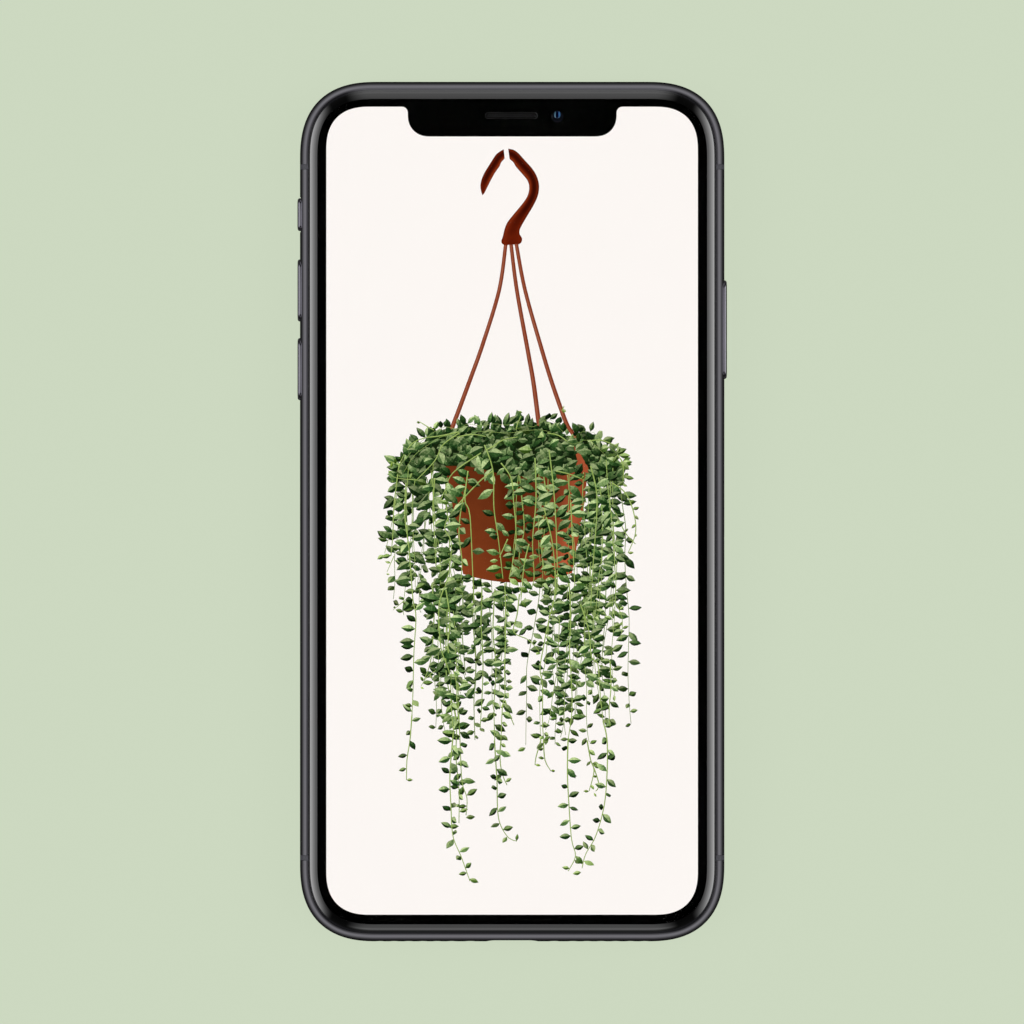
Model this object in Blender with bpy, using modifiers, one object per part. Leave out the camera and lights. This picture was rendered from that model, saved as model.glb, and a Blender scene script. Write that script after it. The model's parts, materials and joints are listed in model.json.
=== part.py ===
"""A pocket smartphone with a notched front, lying on its back.

The origin is the middle of the flat back face. +X is right and +Y is up as the user
looks at the screen, and +Z comes out of the screen. All lengths are metres.
"""

import math

import bmesh
import bpy
from mathutils import Matrix

# Outside of the phone
BODY_WIDTH = 0.0709
BODY_LENGTH = 0.1436
BODY_THICKNESS = 0.0077
CORNER_SPAN = 0.0130  # how far a corner's curve reaches along each side
CORNER_POWER = 2.5  # 2 is a circle, more is squarer
EDGE_ROUND = 0.00295  # how far the rounding of the sides reaches over each face
HALF_WIDTH = BODY_WIDTH / 2
HALF_LENGTH = BODY_LENGTH / 2
MID_HEIGHT = BODY_THICKNESS / 2

# Fineness of the round stretches
CORNER_SEGMENTS = 12
EDGE_RESOLUTION = 5
ROUND_SEGMENTS = 24
SMALL_SEGMENTS = 12
EASE_SEGMENTS = 2

# Clearances: between still pieces, round moving ones, and between pieces that nearly touch
CLEARANCE = 0.0002
KEY_CLEARANCE = 0.00012
HAIRLINE = 0.0001
LAP = 0.0004  # how deep two forms lap where they are joined into one

# Band, glass and chassis, as insets from the outline
BAND_LIP = 0.00142
GLASS_INSET = 0.00164
WALL_DEPTH = 0.0028
CHASSIS_INSET = 0.00295
GLASS_THICKNESS = 0.0008
LEDGE_GAP = 0.00015
CHASSIS_Z = (0.0009, 0.0013)

# Breaks in the band, filled with plastic
BREAK_WIDTH = 0.0009
UPPER_BREAK_Y = 0.05755
LOWER_BREAK_Y = -0.0578
BREAK_GAP = 0.00005

# Display
PANEL_HALF = (0.0320, 0.0683)
PANEL_CORNER = 0.0079
PANEL_Z = (0.00605, 0.00662)
BACKPLATE_HALF = (0.0314, 0.0683)
BACKPLATE_Z = (0.0056, 0.00592)
NOTCH_HALF_WIDTH = 0.01705
NOTCH_BOTTOM_Y = 0.06305
NOTCH_CORNER = 0.0030

# Hardware that looks out between the notch and the top edge
EARPIECE_CENTRE = (-0.00015, 0.0661)
EARPIECE_HALF = 0.00438
EARPIECE_RADIUS = 0.00058
EARPIECE_MESH_TOP = 0.0075
FRONT_CAMERA_CENTRE = (0.00756, 0.0659)
FRONT_LENS_RADIUS = 0.0018
FRONT_BARREL_WALL = 0.0005
FRONT_LENS_Z = (0.0060, 0.0067)
NOTCH_PART_Y = (0.0634, 0.0686)
UNDER_GLASS_Z = 0.0067

# Side keys: middles and half lengths along Y, and their shape across
KEY_PROUD = 0.00042
KEY_RADIUS = 0.0013
KEY_EASE = 0.00022
FLANGE_X = (0.03175, 0.03235)
FLANGE_MARGIN = 0.0006
FLANGE_LIFT = 0.0003
CONTACT_X = (0.0299, 0.03145)
CONTACT_PART = 0.7  # of its key's length
VOLUME_HALF = 0.0052
VOLUME_UP_Y = 0.03695
VOLUME_DOWN_Y = 0.0238
SIDE_KEY_HALF = 0.00825
SIDE_KEY_Y = 0.0304

# Mute switch, at the front end of its travel
MUTE_Y = 0.0496
MUTE_HALF = 0.00275
MUTE_RADIUS = 0.0009
MUTE_TRAVEL = 0.0011
MUTE_SLOT_HALF = (0.00295, MUTE_RADIUS + MUTE_TRAVEL / 2 + HAIRLINE)
MUTE_CONTACT_HALF = (0.0030, 0.00155)

# Card tray in the right side, the card on it and the reader round it
TRAY_Y = 0.0010
TRAY_FACE_HALF = 0.0072
TRAY_FACE_RADIUS = 0.00085
TRAY_FACE_X = 0.0339
TRAY_BACK_X = 0.0200
TRAY_HALF_WIDTH = 0.0069
TRAY_HALF_HEIGHT = 0.0005
CARD_SIZE = (0.0088, 0.0123, 0.00067)
CARD_X = 0.0264
CARD_SUNK = 0.00005
EJECT_RADIUS = 0.00042
EJECT_Y = -0.0045
EJECT_DEPTH = 0.0020
EJECT_SEGMENTS = 8
READER_X = (0.0186, 0.0322)
READER_WALL = 0.0007

# Charging port in the bottom edge
PORT_HALF = 0.00447
PORT_RADIUS = 0.0016
PORT_WALL = 0.0003
PORT_Y = (-0.0714, -0.0640)
TONGUE_BACK = 0.0018
TONGUE_HALF = (0.00335, 0.00035)
TONGUE_FRONT_Y = -0.0708

# Housing screws and vents in the bottom edge
SCREW_X = 0.0070
SCREW_HEAD_RADIUS = 0.00078
SCREW_SHANK_RADIUS = 0.0005
SCREW_CLEARANCE = 0.00008
SCREW_HEAD_Y = (-HALF_LENGTH + 0.0003, -HALF_LENGTH + 0.0009)
SCREW_SEAT_Y = -HALF_LENGTH + 0.0010
SCREW_TIP_Y = -HALF_LENGTH + 0.0034
DRIVE_LONG = 0.00045
DRIVE_NARROW = 0.0001
DRIVE_DEPTH = 0.00025
VENT_RADIUS = 0.0007
VENT_PITCH = 0.0024
VENT_FIRST_X = 0.0101
VENT_COUNT = 6
VENT_MESH_Y = (-0.06885, -0.06855)
VENT_MESH_MARGIN = 0.0004

# Rear cameras in a flush stadium window
CAMERA_X = 0.0225
CAMERA_Y = 0.05275
CAMERA_APART = 0.0146
WINDOW_HALF_LENGTH = 0.0135
TRIM_RADIUS = 0.0062
TRIM_WALL = 0.0005
TRIM_HEIGHT = 0.0012
WINDOW_THICKNESS = 0.0007
LENS_COVER_THICKNESS = 0.0006
LENS_RADIUS = 0.0035
FLASH_RADIUS = 0.0015
BEHIND_WINDOW_Z = 0.00085
BARREL_RADIUS = 0.0039
CAMERA_BLOCK_HALF = 0.0056
CAMERA_BLOCK_Z = (0.0017, 0.0053)
FLASH_BOARD_HALF = (0.0022, 0.0013)
FLASH_BOARD_TOP = 0.0022

# Charging coil in a round opening of the chassis
COIL_OPENING = 0.0215
COIL_RADII = (0.0100, 0.0208)
COIL_Z = (0.00092, 0.00122)
COIL_SHIELD_RADIUS = 0.0212
COIL_SHIELD_Z = (0.00127, 0.00147)

# Heights of what is laid over the chassis
FLOOR_Z = 0.00165
BOARD_Z = (FLOOR_Z, 0.00235)
ON_BOARD_Z = 0.00245
DECK_Z = 0.0052

# What is laid in: limits across X, along Y and in Z, the material, and how far edges are eased
LAID_IN = {
    "battery": ((-0.0292, 0.0062), (-0.0450, 0.0456), (FLOOR_Z, 0.0054), "battery_pouch", 0.0006),
    "logic_board": ((0.0075, 0.0313), (-0.0440, 0.0386), BOARD_Z, "circuit_board", 0),
    "shield_can_upper": ((0.0085, 0.0292), (0.0150, 0.0375), (ON_BOARD_Z, DECK_Z), "sheet_steel", 0.0002),
    "shield_can_lower": ((0.0085, 0.0292), (-0.0430, -0.0085), (ON_BOARD_Z, DECK_Z), "sheet_steel", 0.0002),
    "processor": ((0.0088, 0.0174), (-0.0060, 0.0095), (ON_BOARD_Z, 0.0036), "black_resin", 0.0001),
    "battery_flex": ((0.0064, 0.0170), (0.0112, 0.0146), (ON_BOARD_Z, 0.0031), "flex_film", 0),
    "radio_board": ((-0.0260, 0.0060), (0.0472, 0.0612), BOARD_Z, "circuit_board", 0),
    "radio_shield": ((-0.0250, 0.0050), (0.0480, 0.0604), (ON_BOARD_Z, DECK_Z), "sheet_steel", 0.0002),
    "loudspeaker": ((0.0085, 0.0245), (-0.0683, -0.0470), (FLOOR_Z, DECK_Z), "black_resin", 0.0004),
    "vibration_motor": ((-0.0275, -0.0085), (-0.0618, -0.0470), (FLOOR_Z, DECK_Z), "sheet_steel", 0.0004),
    "microphone": ((-0.0245, -0.0085), (-0.0683, -0.0624), (FLOOR_Z, 0.0046), "black_resin", 0.0002),
    "dock_board": ((-0.0078, 0.0078), (-0.0680, -0.0456), (FLOOR_Z, 0.0021), "circuit_board", 0),
    "earpiece_speaker": ((-0.0068, 0.0038), NOTCH_PART_Y, (0.0032, UNDER_GLASS_Z), "black_resin", 0.0003),
    "face_sensor": ((-0.0150, -0.0076), NOTCH_PART_Y, (0.0034, UNDER_GLASS_Z), "black_resin", 0.0003),
    "light_sensor": ((0.0110, 0.0148), NOTCH_PART_Y, (0.0045, UNDER_GLASS_Z), "black_resin", 0.0003),
    "front_camera": ((0.0049, 0.0103), NOTCH_PART_Y, (0.0034, 0.0058), "black_resin", 0.0002),
    "display_flex": ((0.0085, 0.0158), (0.0389, 0.0560), (0.00525, 0.0055), "flex_film", 0),
}
FLEX_LEG_Y = (0.0389, 0.0393)

BEYOND = 0.02  # how far a cutter runs out past what it cuts
WELD = 0.000002
SMOOTH_ANGLE = math.radians(32)

for old in list(bpy.data.objects):
    bpy.data.objects.remove(old, do_unlink=True)

phone = bpy.data.collections.new("smartphone")
cutters = bpy.data.collections.new("cutters")
for collection in (phone, cutters):
    bpy.context.scene.collection.children.link(collection)


def make_material(name, colour, roughness, metallic):
    material = bpy.data.materials.new(name)
    material.use_nodes = True
    shader = material.node_tree.nodes["Principled BSDF"]
    shader.inputs["Base Color"].default_value = (*colour, 1.0)
    shader.inputs["Roughness"].default_value = roughness
    shader.inputs["Metallic"].default_value = metallic


make_material("graphite_steel", (0.10, 0.10, 0.115), 0.22, 1.0)
make_material("antenna_plastic", (0.03, 0.03, 0.035), 0.45, 0.0)
make_material("front_glass", (0.004, 0.004, 0.004), 0.04, 0.0)
make_material("rear_glass", (0.03, 0.03, 0.034), 0.06, 0.0)
make_material("screen", (0.96, 0.93, 0.90), 0.2, 0.0)
make_material("mesh_metal", (0.05, 0.05, 0.05), 0.5, 1.0)
make_material("sheet_steel", (0.55, 0.56, 0.58), 0.35, 1.0)
make_material("copper", (0.72, 0.35, 0.20), 0.35, 1.0)
make_material("ferrite", (0.05, 0.05, 0.06), 0.7, 0.0)
make_material("circuit_board", (0.01, 0.06, 0.10), 0.5, 0.0)
make_material("battery_pouch", (0.02, 0.02, 0.02), 0.55, 0.0)
make_material("black_resin", (0.02, 0.02, 0.02), 0.5, 0.0)
make_material("flex_film", (0.25, 0.12, 0.02), 0.4, 0.0)
make_material("lens_glass", (0.01, 0.015, 0.03), 0.03, 0.0)
make_material("flash_resin", (0.85, 0.78, 0.50), 0.3, 0.0)
make_material("card_plastic", (0.85, 0.85, 0.85), 0.5, 0.0)


def outline(inset, corner=CORNER_SPAN, half=(HALF_WIDTH, HALF_LENGTH)):
    """The squarish rounded rectangle of the phone, moved in by an inset along its normals."""
    quarter = []
    for step in range(CORNER_SEGMENTS + 1):
        turn = math.pi / 2 * step / CORNER_SEGMENTS
        cos, sin = max(math.cos(turn), 0.0), max(math.sin(turn), 0.0)
        normal = (cos ** (2 - 2 / CORNER_POWER), sin ** (2 - 2 / CORNER_POWER))
        length = math.hypot(*normal)
        x = half[0] - corner + corner * cos ** (2 / CORNER_POWER) - inset * normal[0] / length
        y = half[1] - corner + corner * sin ** (2 / CORNER_POWER) - inset * normal[1] / length
        quarter.append((x, y))
    upper = quarter + [(-x, y) for x, y in reversed(quarter)]
    return upper + [(-x, -y) for x, y in upper]


def rounded_rectangle(centre, half, radius, segments=SMALL_SEGMENTS // 2):
    """A rectangle with circular corners, and a stadium where the radius fills one side."""
    points = []
    for quadrant, (side_x, side_y) in enumerate(((1, 1), (-1, 1), (-1, -1), (1, -1))):
        middle_x = centre[0] + side_x * (half[0] - radius)
        middle_y = centre[1] + side_y * (half[1] - radius)
        for step in range(segments + 1):
            turn = math.pi / 2 * (quadrant + step / segments)
            points.append((middle_x + radius * math.cos(turn), middle_y + radius * math.sin(turn)))
    return [point for i, point in enumerate(points) if math.dist(point, points[i - 1]) > WELD]


def circle(centre, radius, segments=ROUND_SEGMENTS):
    turns = [math.tau * step / segments for step in range(segments)]
    return [(centre[0] + radius * math.cos(t), centre[1] + radius * math.sin(t)) for t in turns]


def notched_outline(half):
    """The screen's rounded rectangle with the notch taken out of its top edge."""
    sides = outline(0, PANEL_CORNER, half)
    per_corner = CORNER_SEGMENTS + 1
    steps = CORNER_SEGMENTS // 2
    left_side = []
    for step in range(steps + 1):
        turn = math.pi / 2 * step / steps
        x = -NOTCH_HALF_WIDTH + NOTCH_CORNER * (1 - math.sin(turn))
        left_side.append((x, NOTCH_BOTTOM_Y + NOTCH_CORNER * (1 - math.cos(turn))))
    right_side = [(-x, y) for x, y in reversed(left_side)]
    top_right, top_left = (NOTCH_HALF_WIDTH, half[1]), (-NOTCH_HALF_WIDTH, half[1])
    notch = [top_right, *right_side, *left_side, top_left]
    return sides[:per_corner] + notch + sides[per_corner:]


def camera_window_outline(radius):
    half_length = WINDOW_HALF_LENGTH - TRIM_RADIUS + radius
    return rounded_rectangle((CAMERA_X, CAMERA_Y), (radius, half_length), radius, SMALL_SEGMENTS)


def place(obj, name, material, collection=phone):
    """Names an object, puts it in its collection and gives it its one material."""
    obj.name = name
    obj.data.name = name
    collection.objects.link(obj)
    obj.data.materials.clear()
    if material:
        obj.data.materials.append(bpy.data.materials[material])
    return obj


def freeze(obj):
    """Turns a curve, or a mesh with modifiers, into a plain welded mesh in place."""
    name = obj.name
    collection = obj.users_collection[0]
    material = obj.data.materials[0].name if obj.data.materials else None
    bpy.context.view_layer.update()
    graph = bpy.context.evaluated_depsgraph_get()
    mesh = bpy.data.meshes.new_from_object(obj.evaluated_get(graph), depsgraph=graph)
    mesh.transform(obj.matrix_world)
    form = bmesh.new()
    form.from_mesh(mesh)
    bmesh.ops.remove_doubles(form, verts=form.verts, dist=WELD)
    form.to_mesh(mesh)
    form.free()
    bpy.data.objects.remove(obj, do_unlink=True)
    return place(bpy.data.objects.new(name, mesh), name, material, collection)


def finish_form(obj):
    """Freezes a form. One that has no material is a cutter, and is hidden."""
    obj = freeze(obj)
    if not obj.data.materials:
        obj.hide_render = True
        obj.display_type = "WIRE"
    return obj


def filled_curve(name, outlines):
    """A filled 2D curve from one outline and any holes in it."""
    flat = bpy.data.curves.new(name, "CURVE")
    flat.dimensions = "2D"
    flat.fill_mode = "BOTH"
    for points in outlines:
        spline = flat.splines.new("POLY")
        spline.points.add(len(points) - 1)
        for point, (x, y) in zip(spline.points, points):
            point.co = (x, y, 0.0, 1.0)
        spline.use_cyclic_u = True
    return flat


def prism(name, outlines, low, high, material=None, ease=0.0, axis="Z"):
    """A flat outline, with any holes, made as thick as low to high along an axis.

    Along X the outline's own x and y become Y and Z. Along Y they become X and Z.
    """
    flat = filled_curve(name, outlines)
    flat.extrude = (high - low) / 2 - ease
    flat.bevel_depth = ease
    flat.bevel_resolution = EASE_SEGMENTS
    obj = bpy.data.objects.new(name, flat)
    place(obj, name, material, phone if material else cutters)
    middle = (low + high) / 2
    obj.location = {"X": (middle, 0, 0), "Y": (0, middle, 0), "Z": (0, 0, middle)}[axis]
    upright = math.pi / 2
    obj.rotation_euler = {"X": (upright, 0, upright), "Y": (upright, 0, 0), "Z": (0, 0, 0)}[axis]
    return finish_form(obj)


def block(name, across_x, along_y, in_z, material=None, ease=0.0):
    """A box between three pairs of limits, with its edges eased by a Bevel."""
    bpy.ops.mesh.primitive_cube_add(size=1)
    obj = bpy.context.object
    obj.users_collection[0].objects.unlink(obj)
    limits = (across_x, along_y, in_z)
    obj.data.transform(Matrix.Diagonal([high - low for low, high in limits] + [1]))
    obj.location = [(low + high) / 2 for low, high in limits]
    place(obj, name, material, phone if material else cutters)
    if ease:
        bevel = obj.modifiers.new("eased edges", "BEVEL")
        bevel.width = ease
        bevel.segments = EASE_SEGMENTS
    return finish_form(obj)


def boolean(obj, operation, *others):
    """Cuts an object by others, joins it to them or keeps what it shares with them."""
    for other in others:
        modifier = obj.modifiers.new(operation.lower(), "BOOLEAN")
        modifier.operation = operation
        modifier.object = other
    return freeze(obj)


def copy_of(obj, name, material):
    return place(bpy.data.objects.new(name, obj.data.copy()), name, material)


def make_body_form():
    """The whole phone as one slab whose sides are half ellipses, to cut its skin from."""
    flat = filled_curve("body form", [outline(EDGE_ROUND)])
    flat.bevel_depth = EDGE_ROUND
    flat.bevel_resolution = EDGE_RESOLUTION
    obj = place(bpy.data.objects.new("body form", flat), "body form", None, cutters)
    obj.scale = (1, 1, MID_HEIGHT / EDGE_ROUND)
    obj.location = (0, 0, MID_HEIGHT)
    return finish_form(obj)


body_form = make_body_form()


def make_band():
    """The metal band in four lengths, with a plastic filling in each break between them."""
    ring = boolean(
        copy_of(body_form, "ring", "graphite_steel"),
        "DIFFERENCE",
        prism("front rebate", [outline(BAND_LIP)], BODY_THICKNESS - GLASS_THICKNESS - LEDGE_GAP, BEYOND),
        prism("back rebate", [outline(BAND_LIP)], -BEYOND, GLASS_THICKNESS + LEDGE_GAP),
        prism("cavity", [outline(WALL_DEPTH)], -BEYOND, BEYOND),
    )
    half = BREAK_WIDTH / 2
    middle = (LOWER_BREAK_Y + half, UPPER_BREAK_Y - half)
    left, right, whole = (-BODY_WIDTH, 0), (0, BODY_WIDTH), (-BODY_WIDTH, BODY_WIDTH)
    spans = {
        "band_top": (whole, (UPPER_BREAK_Y + half, BODY_LENGTH), "graphite_steel"),
        "band_bottom": (whole, (-BODY_LENGTH, LOWER_BREAK_Y - half), "graphite_steel"),
        "band_left": (left, middle, "graphite_steel"),
        "band_right": (right, middle, "graphite_steel"),
    }
    filled = half - BREAK_GAP
    for height, at in (("upper", UPPER_BREAK_Y), ("lower", LOWER_BREAK_Y)):
        for side, across in (("left", left), ("right", right)):
            along = (at - filled, at + filled)
            spans[f"antenna_break_{height}_{side}"] = (across, along, "antenna_plastic")
    for name, (across, along, material) in spans.items():
        region = block(name + " region", across, along, (-BEYOND, BEYOND))
        boolean(copy_of(ring, name, material), "INTERSECT", region)
    bpy.data.objects.remove(ring, do_unlink=True)


def stadium(centre, half_length, radius):
    return rounded_rectangle(centre, (half_length, radius), radius)


def vent_positions(side):
    return [side * (VENT_FIRST_X + VENT_PITCH * step) for step in range(VENT_COUNT)]


def cut_sides():
    """Openings in the band's sides for the keys, the switch and the card tray."""
    near, far = HALF_WIDTH - BEYOND / 2, HALF_WIDTH + BEYOND
    slots = [
        prism("volume slot", [stadium((y, MID_HEIGHT), VOLUME_HALF + KEY_CLEARANCE,
                                      KEY_RADIUS + KEY_CLEARANCE)], -far, -near, axis="X")
        for y in (VOLUME_UP_Y, VOLUME_DOWN_Y)
    ]
    mute_slot = rounded_rectangle((MUTE_Y, MID_HEIGHT), MUTE_SLOT_HALF, MUTE_RADIUS)
    slots.append(prism("mute slot", [mute_slot], -far, -near, axis="X"))
    boolean(phone.objects["band_left"], "DIFFERENCE", *slots)
    key_slot = stadium((SIDE_KEY_Y, MID_HEIGHT), SIDE_KEY_HALF + KEY_CLEARANCE,
                       KEY_RADIUS + KEY_CLEARANCE)
    tray_slot = stadium((TRAY_Y, MID_HEIGHT), TRAY_FACE_HALF + HAIRLINE, TRAY_FACE_RADIUS + HAIRLINE)
    boolean(
        phone.objects["band_right"],
        "DIFFERENCE",
        prism("side key slot", [key_slot], near, far, axis="X"),
        prism("tray slot", [tray_slot], near, far, axis="X"),
    )


def cut_bottom():
    """Openings in the bottom edge for the port, the screws and the vents."""
    far, near = -HALF_LENGTH - BEYOND, -HALF_LENGTH + BEYOND / 2
    port = stadium((0, MID_HEIGHT), PORT_HALF + HAIRLINE, PORT_RADIUS + HAIRLINE)
    openings = [prism("port opening", [port], far, near, axis="Y")]
    for side in (-1, 1):
        at = (side * SCREW_X, MID_HEIGHT)
        head = circle(at, SCREW_HEAD_RADIUS + SCREW_CLEARANCE, SMALL_SEGMENTS)
        shank = circle(at, SCREW_SHANK_RADIUS + SCREW_CLEARANCE, SMALL_SEGMENTS)
        openings.append(prism("screw counterbore", [head], far, SCREW_SEAT_Y, axis="Y"))
        openings.append(prism("screw hole", [shank], far, near, axis="Y"))
        for x in vent_positions(side):
            hole = circle((x, MID_HEIGHT), VENT_RADIUS, SMALL_SEGMENTS)
            openings.append(prism("vent", [hole], far, near, axis="Y"))
    boolean(phone.objects["band_bottom"], "DIFFERENCE", *openings)


def make_key(name, side, y, half, contact_name):
    """A push key: a proud cap, a flange that keeps it in, and the contact behind it."""
    across = sorted((side * FLANGE_X[0], side * (HALF_WIDTH + KEY_PROUD)))
    shape = stadium((y, MID_HEIGHT), half - KEY_EASE, KEY_RADIUS - KEY_EASE)
    cap = prism(name, [shape], *across, "graphite_steel", KEY_EASE, "X")
    tall = KEY_RADIUS + FLANGE_LIFT
    long = half + FLANGE_MARGIN
    flange = block(name + " flange", sorted(side * x for x in FLANGE_X), (y - long, y + long),
                   (MID_HEIGHT - tall, MID_HEIGHT + tall))
    boolean(cap, "UNION", flange)
    reach = half * CONTACT_PART
    block(contact_name, sorted(side * x for x in CONTACT_X), (y - reach, y + reach),
          (MID_HEIGHT - KEY_RADIUS, MID_HEIGHT + KEY_RADIUS), "black_resin", CLEARANCE)


def make_mute_switch():
    """A lever that slides front to back in its slot, with a wide flange behind the wall."""
    height = MID_HEIGHT + MUTE_TRAVEL / 2
    shape = stadium((MUTE_Y, height), MUTE_HALF - KEY_EASE, MUTE_RADIUS - KEY_EASE)
    lever = prism("mute_switch", [shape], -HALF_WIDTH - KEY_PROUD, -FLANGE_X[0],
                  "graphite_steel", KEY_EASE, "X")
    tall = MUTE_SLOT_HALF[1] - HAIRLINE
    long = MUTE_SLOT_HALF[0] + FLANGE_LIFT
    flange = block("mute flange", (-FLANGE_X[1], -FLANGE_X[0]), (MUTE_Y - long, MUTE_Y + long),
                   (height - tall, height + tall))
    boolean(lever, "UNION", flange)
    long, tall = MUTE_CONTACT_HALF
    block("mute_contact", (-CONTACT_X[1], -CONTACT_X[0]), (MUTE_Y - long, MUTE_Y + long),
          (MID_HEIGHT - tall, MID_HEIGHT + tall), "black_resin", CLEARANCE)


def make_glass():
    """Front and back glass, each with its rounded rim cut from the body's own form."""
    rim = [outline(GLASS_INSET)]
    front = boolean(copy_of(body_form, "cover_glass", "front_glass"), "INTERSECT",
                    prism("front glass region", rim, BODY_THICKNESS - GLASS_THICKNESS, BEYOND))
    slot = stadium(EARPIECE_CENTRE, EARPIECE_HALF, EARPIECE_RADIUS)
    boolean(front, "DIFFERENCE", prism("earpiece slot", [slot], 0, BEYOND))
    back = boolean(copy_of(body_form, "back_glass", "rear_glass"), "INTERSECT",
                   prism("back glass region", rim, -BEYOND, GLASS_THICKNESS))
    opening = camera_window_outline(TRIM_RADIUS + HAIRLINE)
    boolean(back, "DIFFERENCE", prism("camera opening", [opening], -BEYOND, BEYOND))


def make_display():
    prism("display_panel", [notched_outline(PANEL_HALF)], *PANEL_Z, "screen")
    prism("display_backplate", [notched_outline(BACKPLATE_HALF)], *BACKPLATE_Z, "sheet_steel")


def make_laid_in_pieces():
    """Battery, boards, shields, sound and touch modules and sensors, as boxes side by side."""
    for name, (across_x, along_y, in_z, material, ease) in LAID_IN.items():
        block(name, across_x, along_y, in_z, material, ease)
    flex_x, _, flex_z, _, _ = LAID_IN["display_flex"]
    leg = block("display flex leg", flex_x, FLEX_LEG_Y, (BOARD_Z[0], flex_z[1] - HAIRLINE))
    boolean(phone.objects["display_flex"], "UNION", leg)


def finish_notch_hardware():
    """The grille in the glass's slot, and the front camera's barrel with its lens."""
    grille = stadium(EARPIECE_CENTRE, EARPIECE_HALF - HAIRLINE, EARPIECE_RADIUS - HAIRLINE)
    prism("earpiece_mesh", [grille], BODY_THICKNESS - GLASS_THICKNESS, EARPIECE_MESH_TOP, "mesh_metal")
    outside = circle(FRONT_CAMERA_CENTRE, FRONT_LENS_RADIUS + FRONT_BARREL_WALL)
    inside = circle(FRONT_CAMERA_CENTRE, FRONT_LENS_RADIUS + HAIRLINE)
    block_top = LAID_IN["front_camera"][2][1]
    barrel = prism("front barrel", [outside], block_top - LAP, FRONT_LENS_Z[1] - CLEARANCE)
    camera = boolean(phone.objects["front_camera"], "UNION", barrel)
    boolean(camera, "DIFFERENCE",
            prism("front lens seat", [inside], FRONT_LENS_Z[0] - HAIRLINE, BEYOND))
    lens = circle(FRONT_CAMERA_CENTRE, FRONT_LENS_RADIUS)
    prism("front_camera_lens", [lens], *FRONT_LENS_Z, "lens_glass")


def make_card_tray():
    """The tray slides out to the right. Its face follows the band's own curve."""
    face = stadium((TRAY_Y, MID_HEIGHT), TRAY_FACE_HALF, TRAY_FACE_RADIUS)
    tray = prism("sim_tray", [face], TRAY_FACE_X, BODY_WIDTH, "graphite_steel", axis="X")
    tray = boolean(tray, "INTERSECT", body_form)
    plate = block("tray plate", (TRAY_BACK_X, TRAY_FACE_X + LAP),
                  (TRAY_Y - TRAY_HALF_WIDTH, TRAY_Y + TRAY_HALF_WIDTH),
                  (MID_HEIGHT - TRAY_HALF_HEIGHT, MID_HEIGHT + TRAY_HALF_HEIGHT))
    tray = boolean(tray, "UNION", plate)
    half_x, half_y = CARD_SIZE[0] / 2, CARD_SIZE[1] / 2
    card_top = MID_HEIGHT + TRAY_HALF_HEIGHT - CARD_SUNK
    card_low = card_top - CARD_SIZE[2]
    pocket = block("card pocket",
                   (CARD_X - half_x - HAIRLINE, CARD_X + half_x + HAIRLINE),
                   (TRAY_Y - half_y - HAIRLINE, TRAY_Y + half_y + HAIRLINE),
                   (card_low - HAIRLINE, BEYOND))
    hole = prism("eject hole", [circle((EJECT_Y, MID_HEIGHT), EJECT_RADIUS, EJECT_SEGMENTS)],
                 HALF_WIDTH - EJECT_DEPTH, BEYOND * 2, axis="X")
    boolean(tray, "DIFFERENCE", pocket, hole)
    block("sim_card", (CARD_X - half_x, CARD_X + half_x), (TRAY_Y - half_y, TRAY_Y + half_y),
          (card_low, card_top), "card_plastic")


def make_card_reader():
    """A flat cage, open towards the slot, that the tray runs in."""
    wide, tall = TRAY_HALF_WIDTH + CLEARANCE, TRAY_HALF_HEIGHT + CLEARANCE
    out_wide, out_tall = wide + READER_WALL, tall + READER_WALL
    reader = block("sim_reader", READER_X, (TRAY_Y - out_wide, TRAY_Y + out_wide),
                   (MID_HEIGHT - out_tall, MID_HEIGHT + out_tall), "sheet_steel", CLEARANCE)
    boolean(reader, "DIFFERENCE",
            block("card way", (READER_X[0] + READER_WALL, BEYOND * 2),
                  (TRAY_Y - wide, TRAY_Y + wide), (MID_HEIGHT - tall, MID_HEIGHT + tall)))


def make_port():
    """A hollow shell with a plug of resin at its back, which carries the contact tongue."""
    hollow_half, hollow_radius = PORT_HALF - PORT_WALL, PORT_RADIUS - PORT_WALL
    shell = [stadium((0, MID_HEIGHT), PORT_HALF, PORT_RADIUS),
             stadium((0, MID_HEIGHT), hollow_half, hollow_radius)]
    prism("port_shell", shell, *PORT_Y, "sheet_steel", axis="Y")
    plug = stadium((0, MID_HEIGHT), hollow_half - HAIRLINE, hollow_radius - HAIRLINE)
    plug_front = PORT_Y[1] - TONGUE_BACK
    tongue = prism("port_tongue", [plug], plug_front, PORT_Y[1], "black_resin", axis="Y")
    wide, tall = TONGUE_HALF
    blade = block("tongue blade", (-wide, wide), (TONGUE_FRONT_Y, plug_front + LAP),
                  (MID_HEIGHT - tall, MID_HEIGHT + tall))
    boolean(tongue, "UNION", blade)


def make_screw(name, x):
    """A housing screw sunk in the bottom edge, with a plain cross to drive it."""
    head = prism(name, [circle((x, MID_HEIGHT), SCREW_HEAD_RADIUS, SMALL_SEGMENTS)],
                 *SCREW_HEAD_Y, "graphite_steel", axis="Y")
    shank = prism("shank", [circle((x, MID_HEIGHT), SCREW_SHANK_RADIUS, SMALL_SEGMENTS)],
                  SCREW_HEAD_Y[1] - CLEARANCE, SCREW_TIP_Y, axis="Y")
    screw = boolean(head, "UNION", shank)
    depth = (-HALF_LENGTH, SCREW_HEAD_Y[0] + DRIVE_DEPTH)
    slots = [
        block("drive slot", (x - wide, x + wide), depth, (MID_HEIGHT - tall, MID_HEIGHT + tall))
        for wide, tall in ((DRIVE_LONG, DRIVE_NARROW), (DRIVE_NARROW, DRIVE_LONG))
    ]
    boolean(screw, "DIFFERENCE", *slots)


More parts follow.
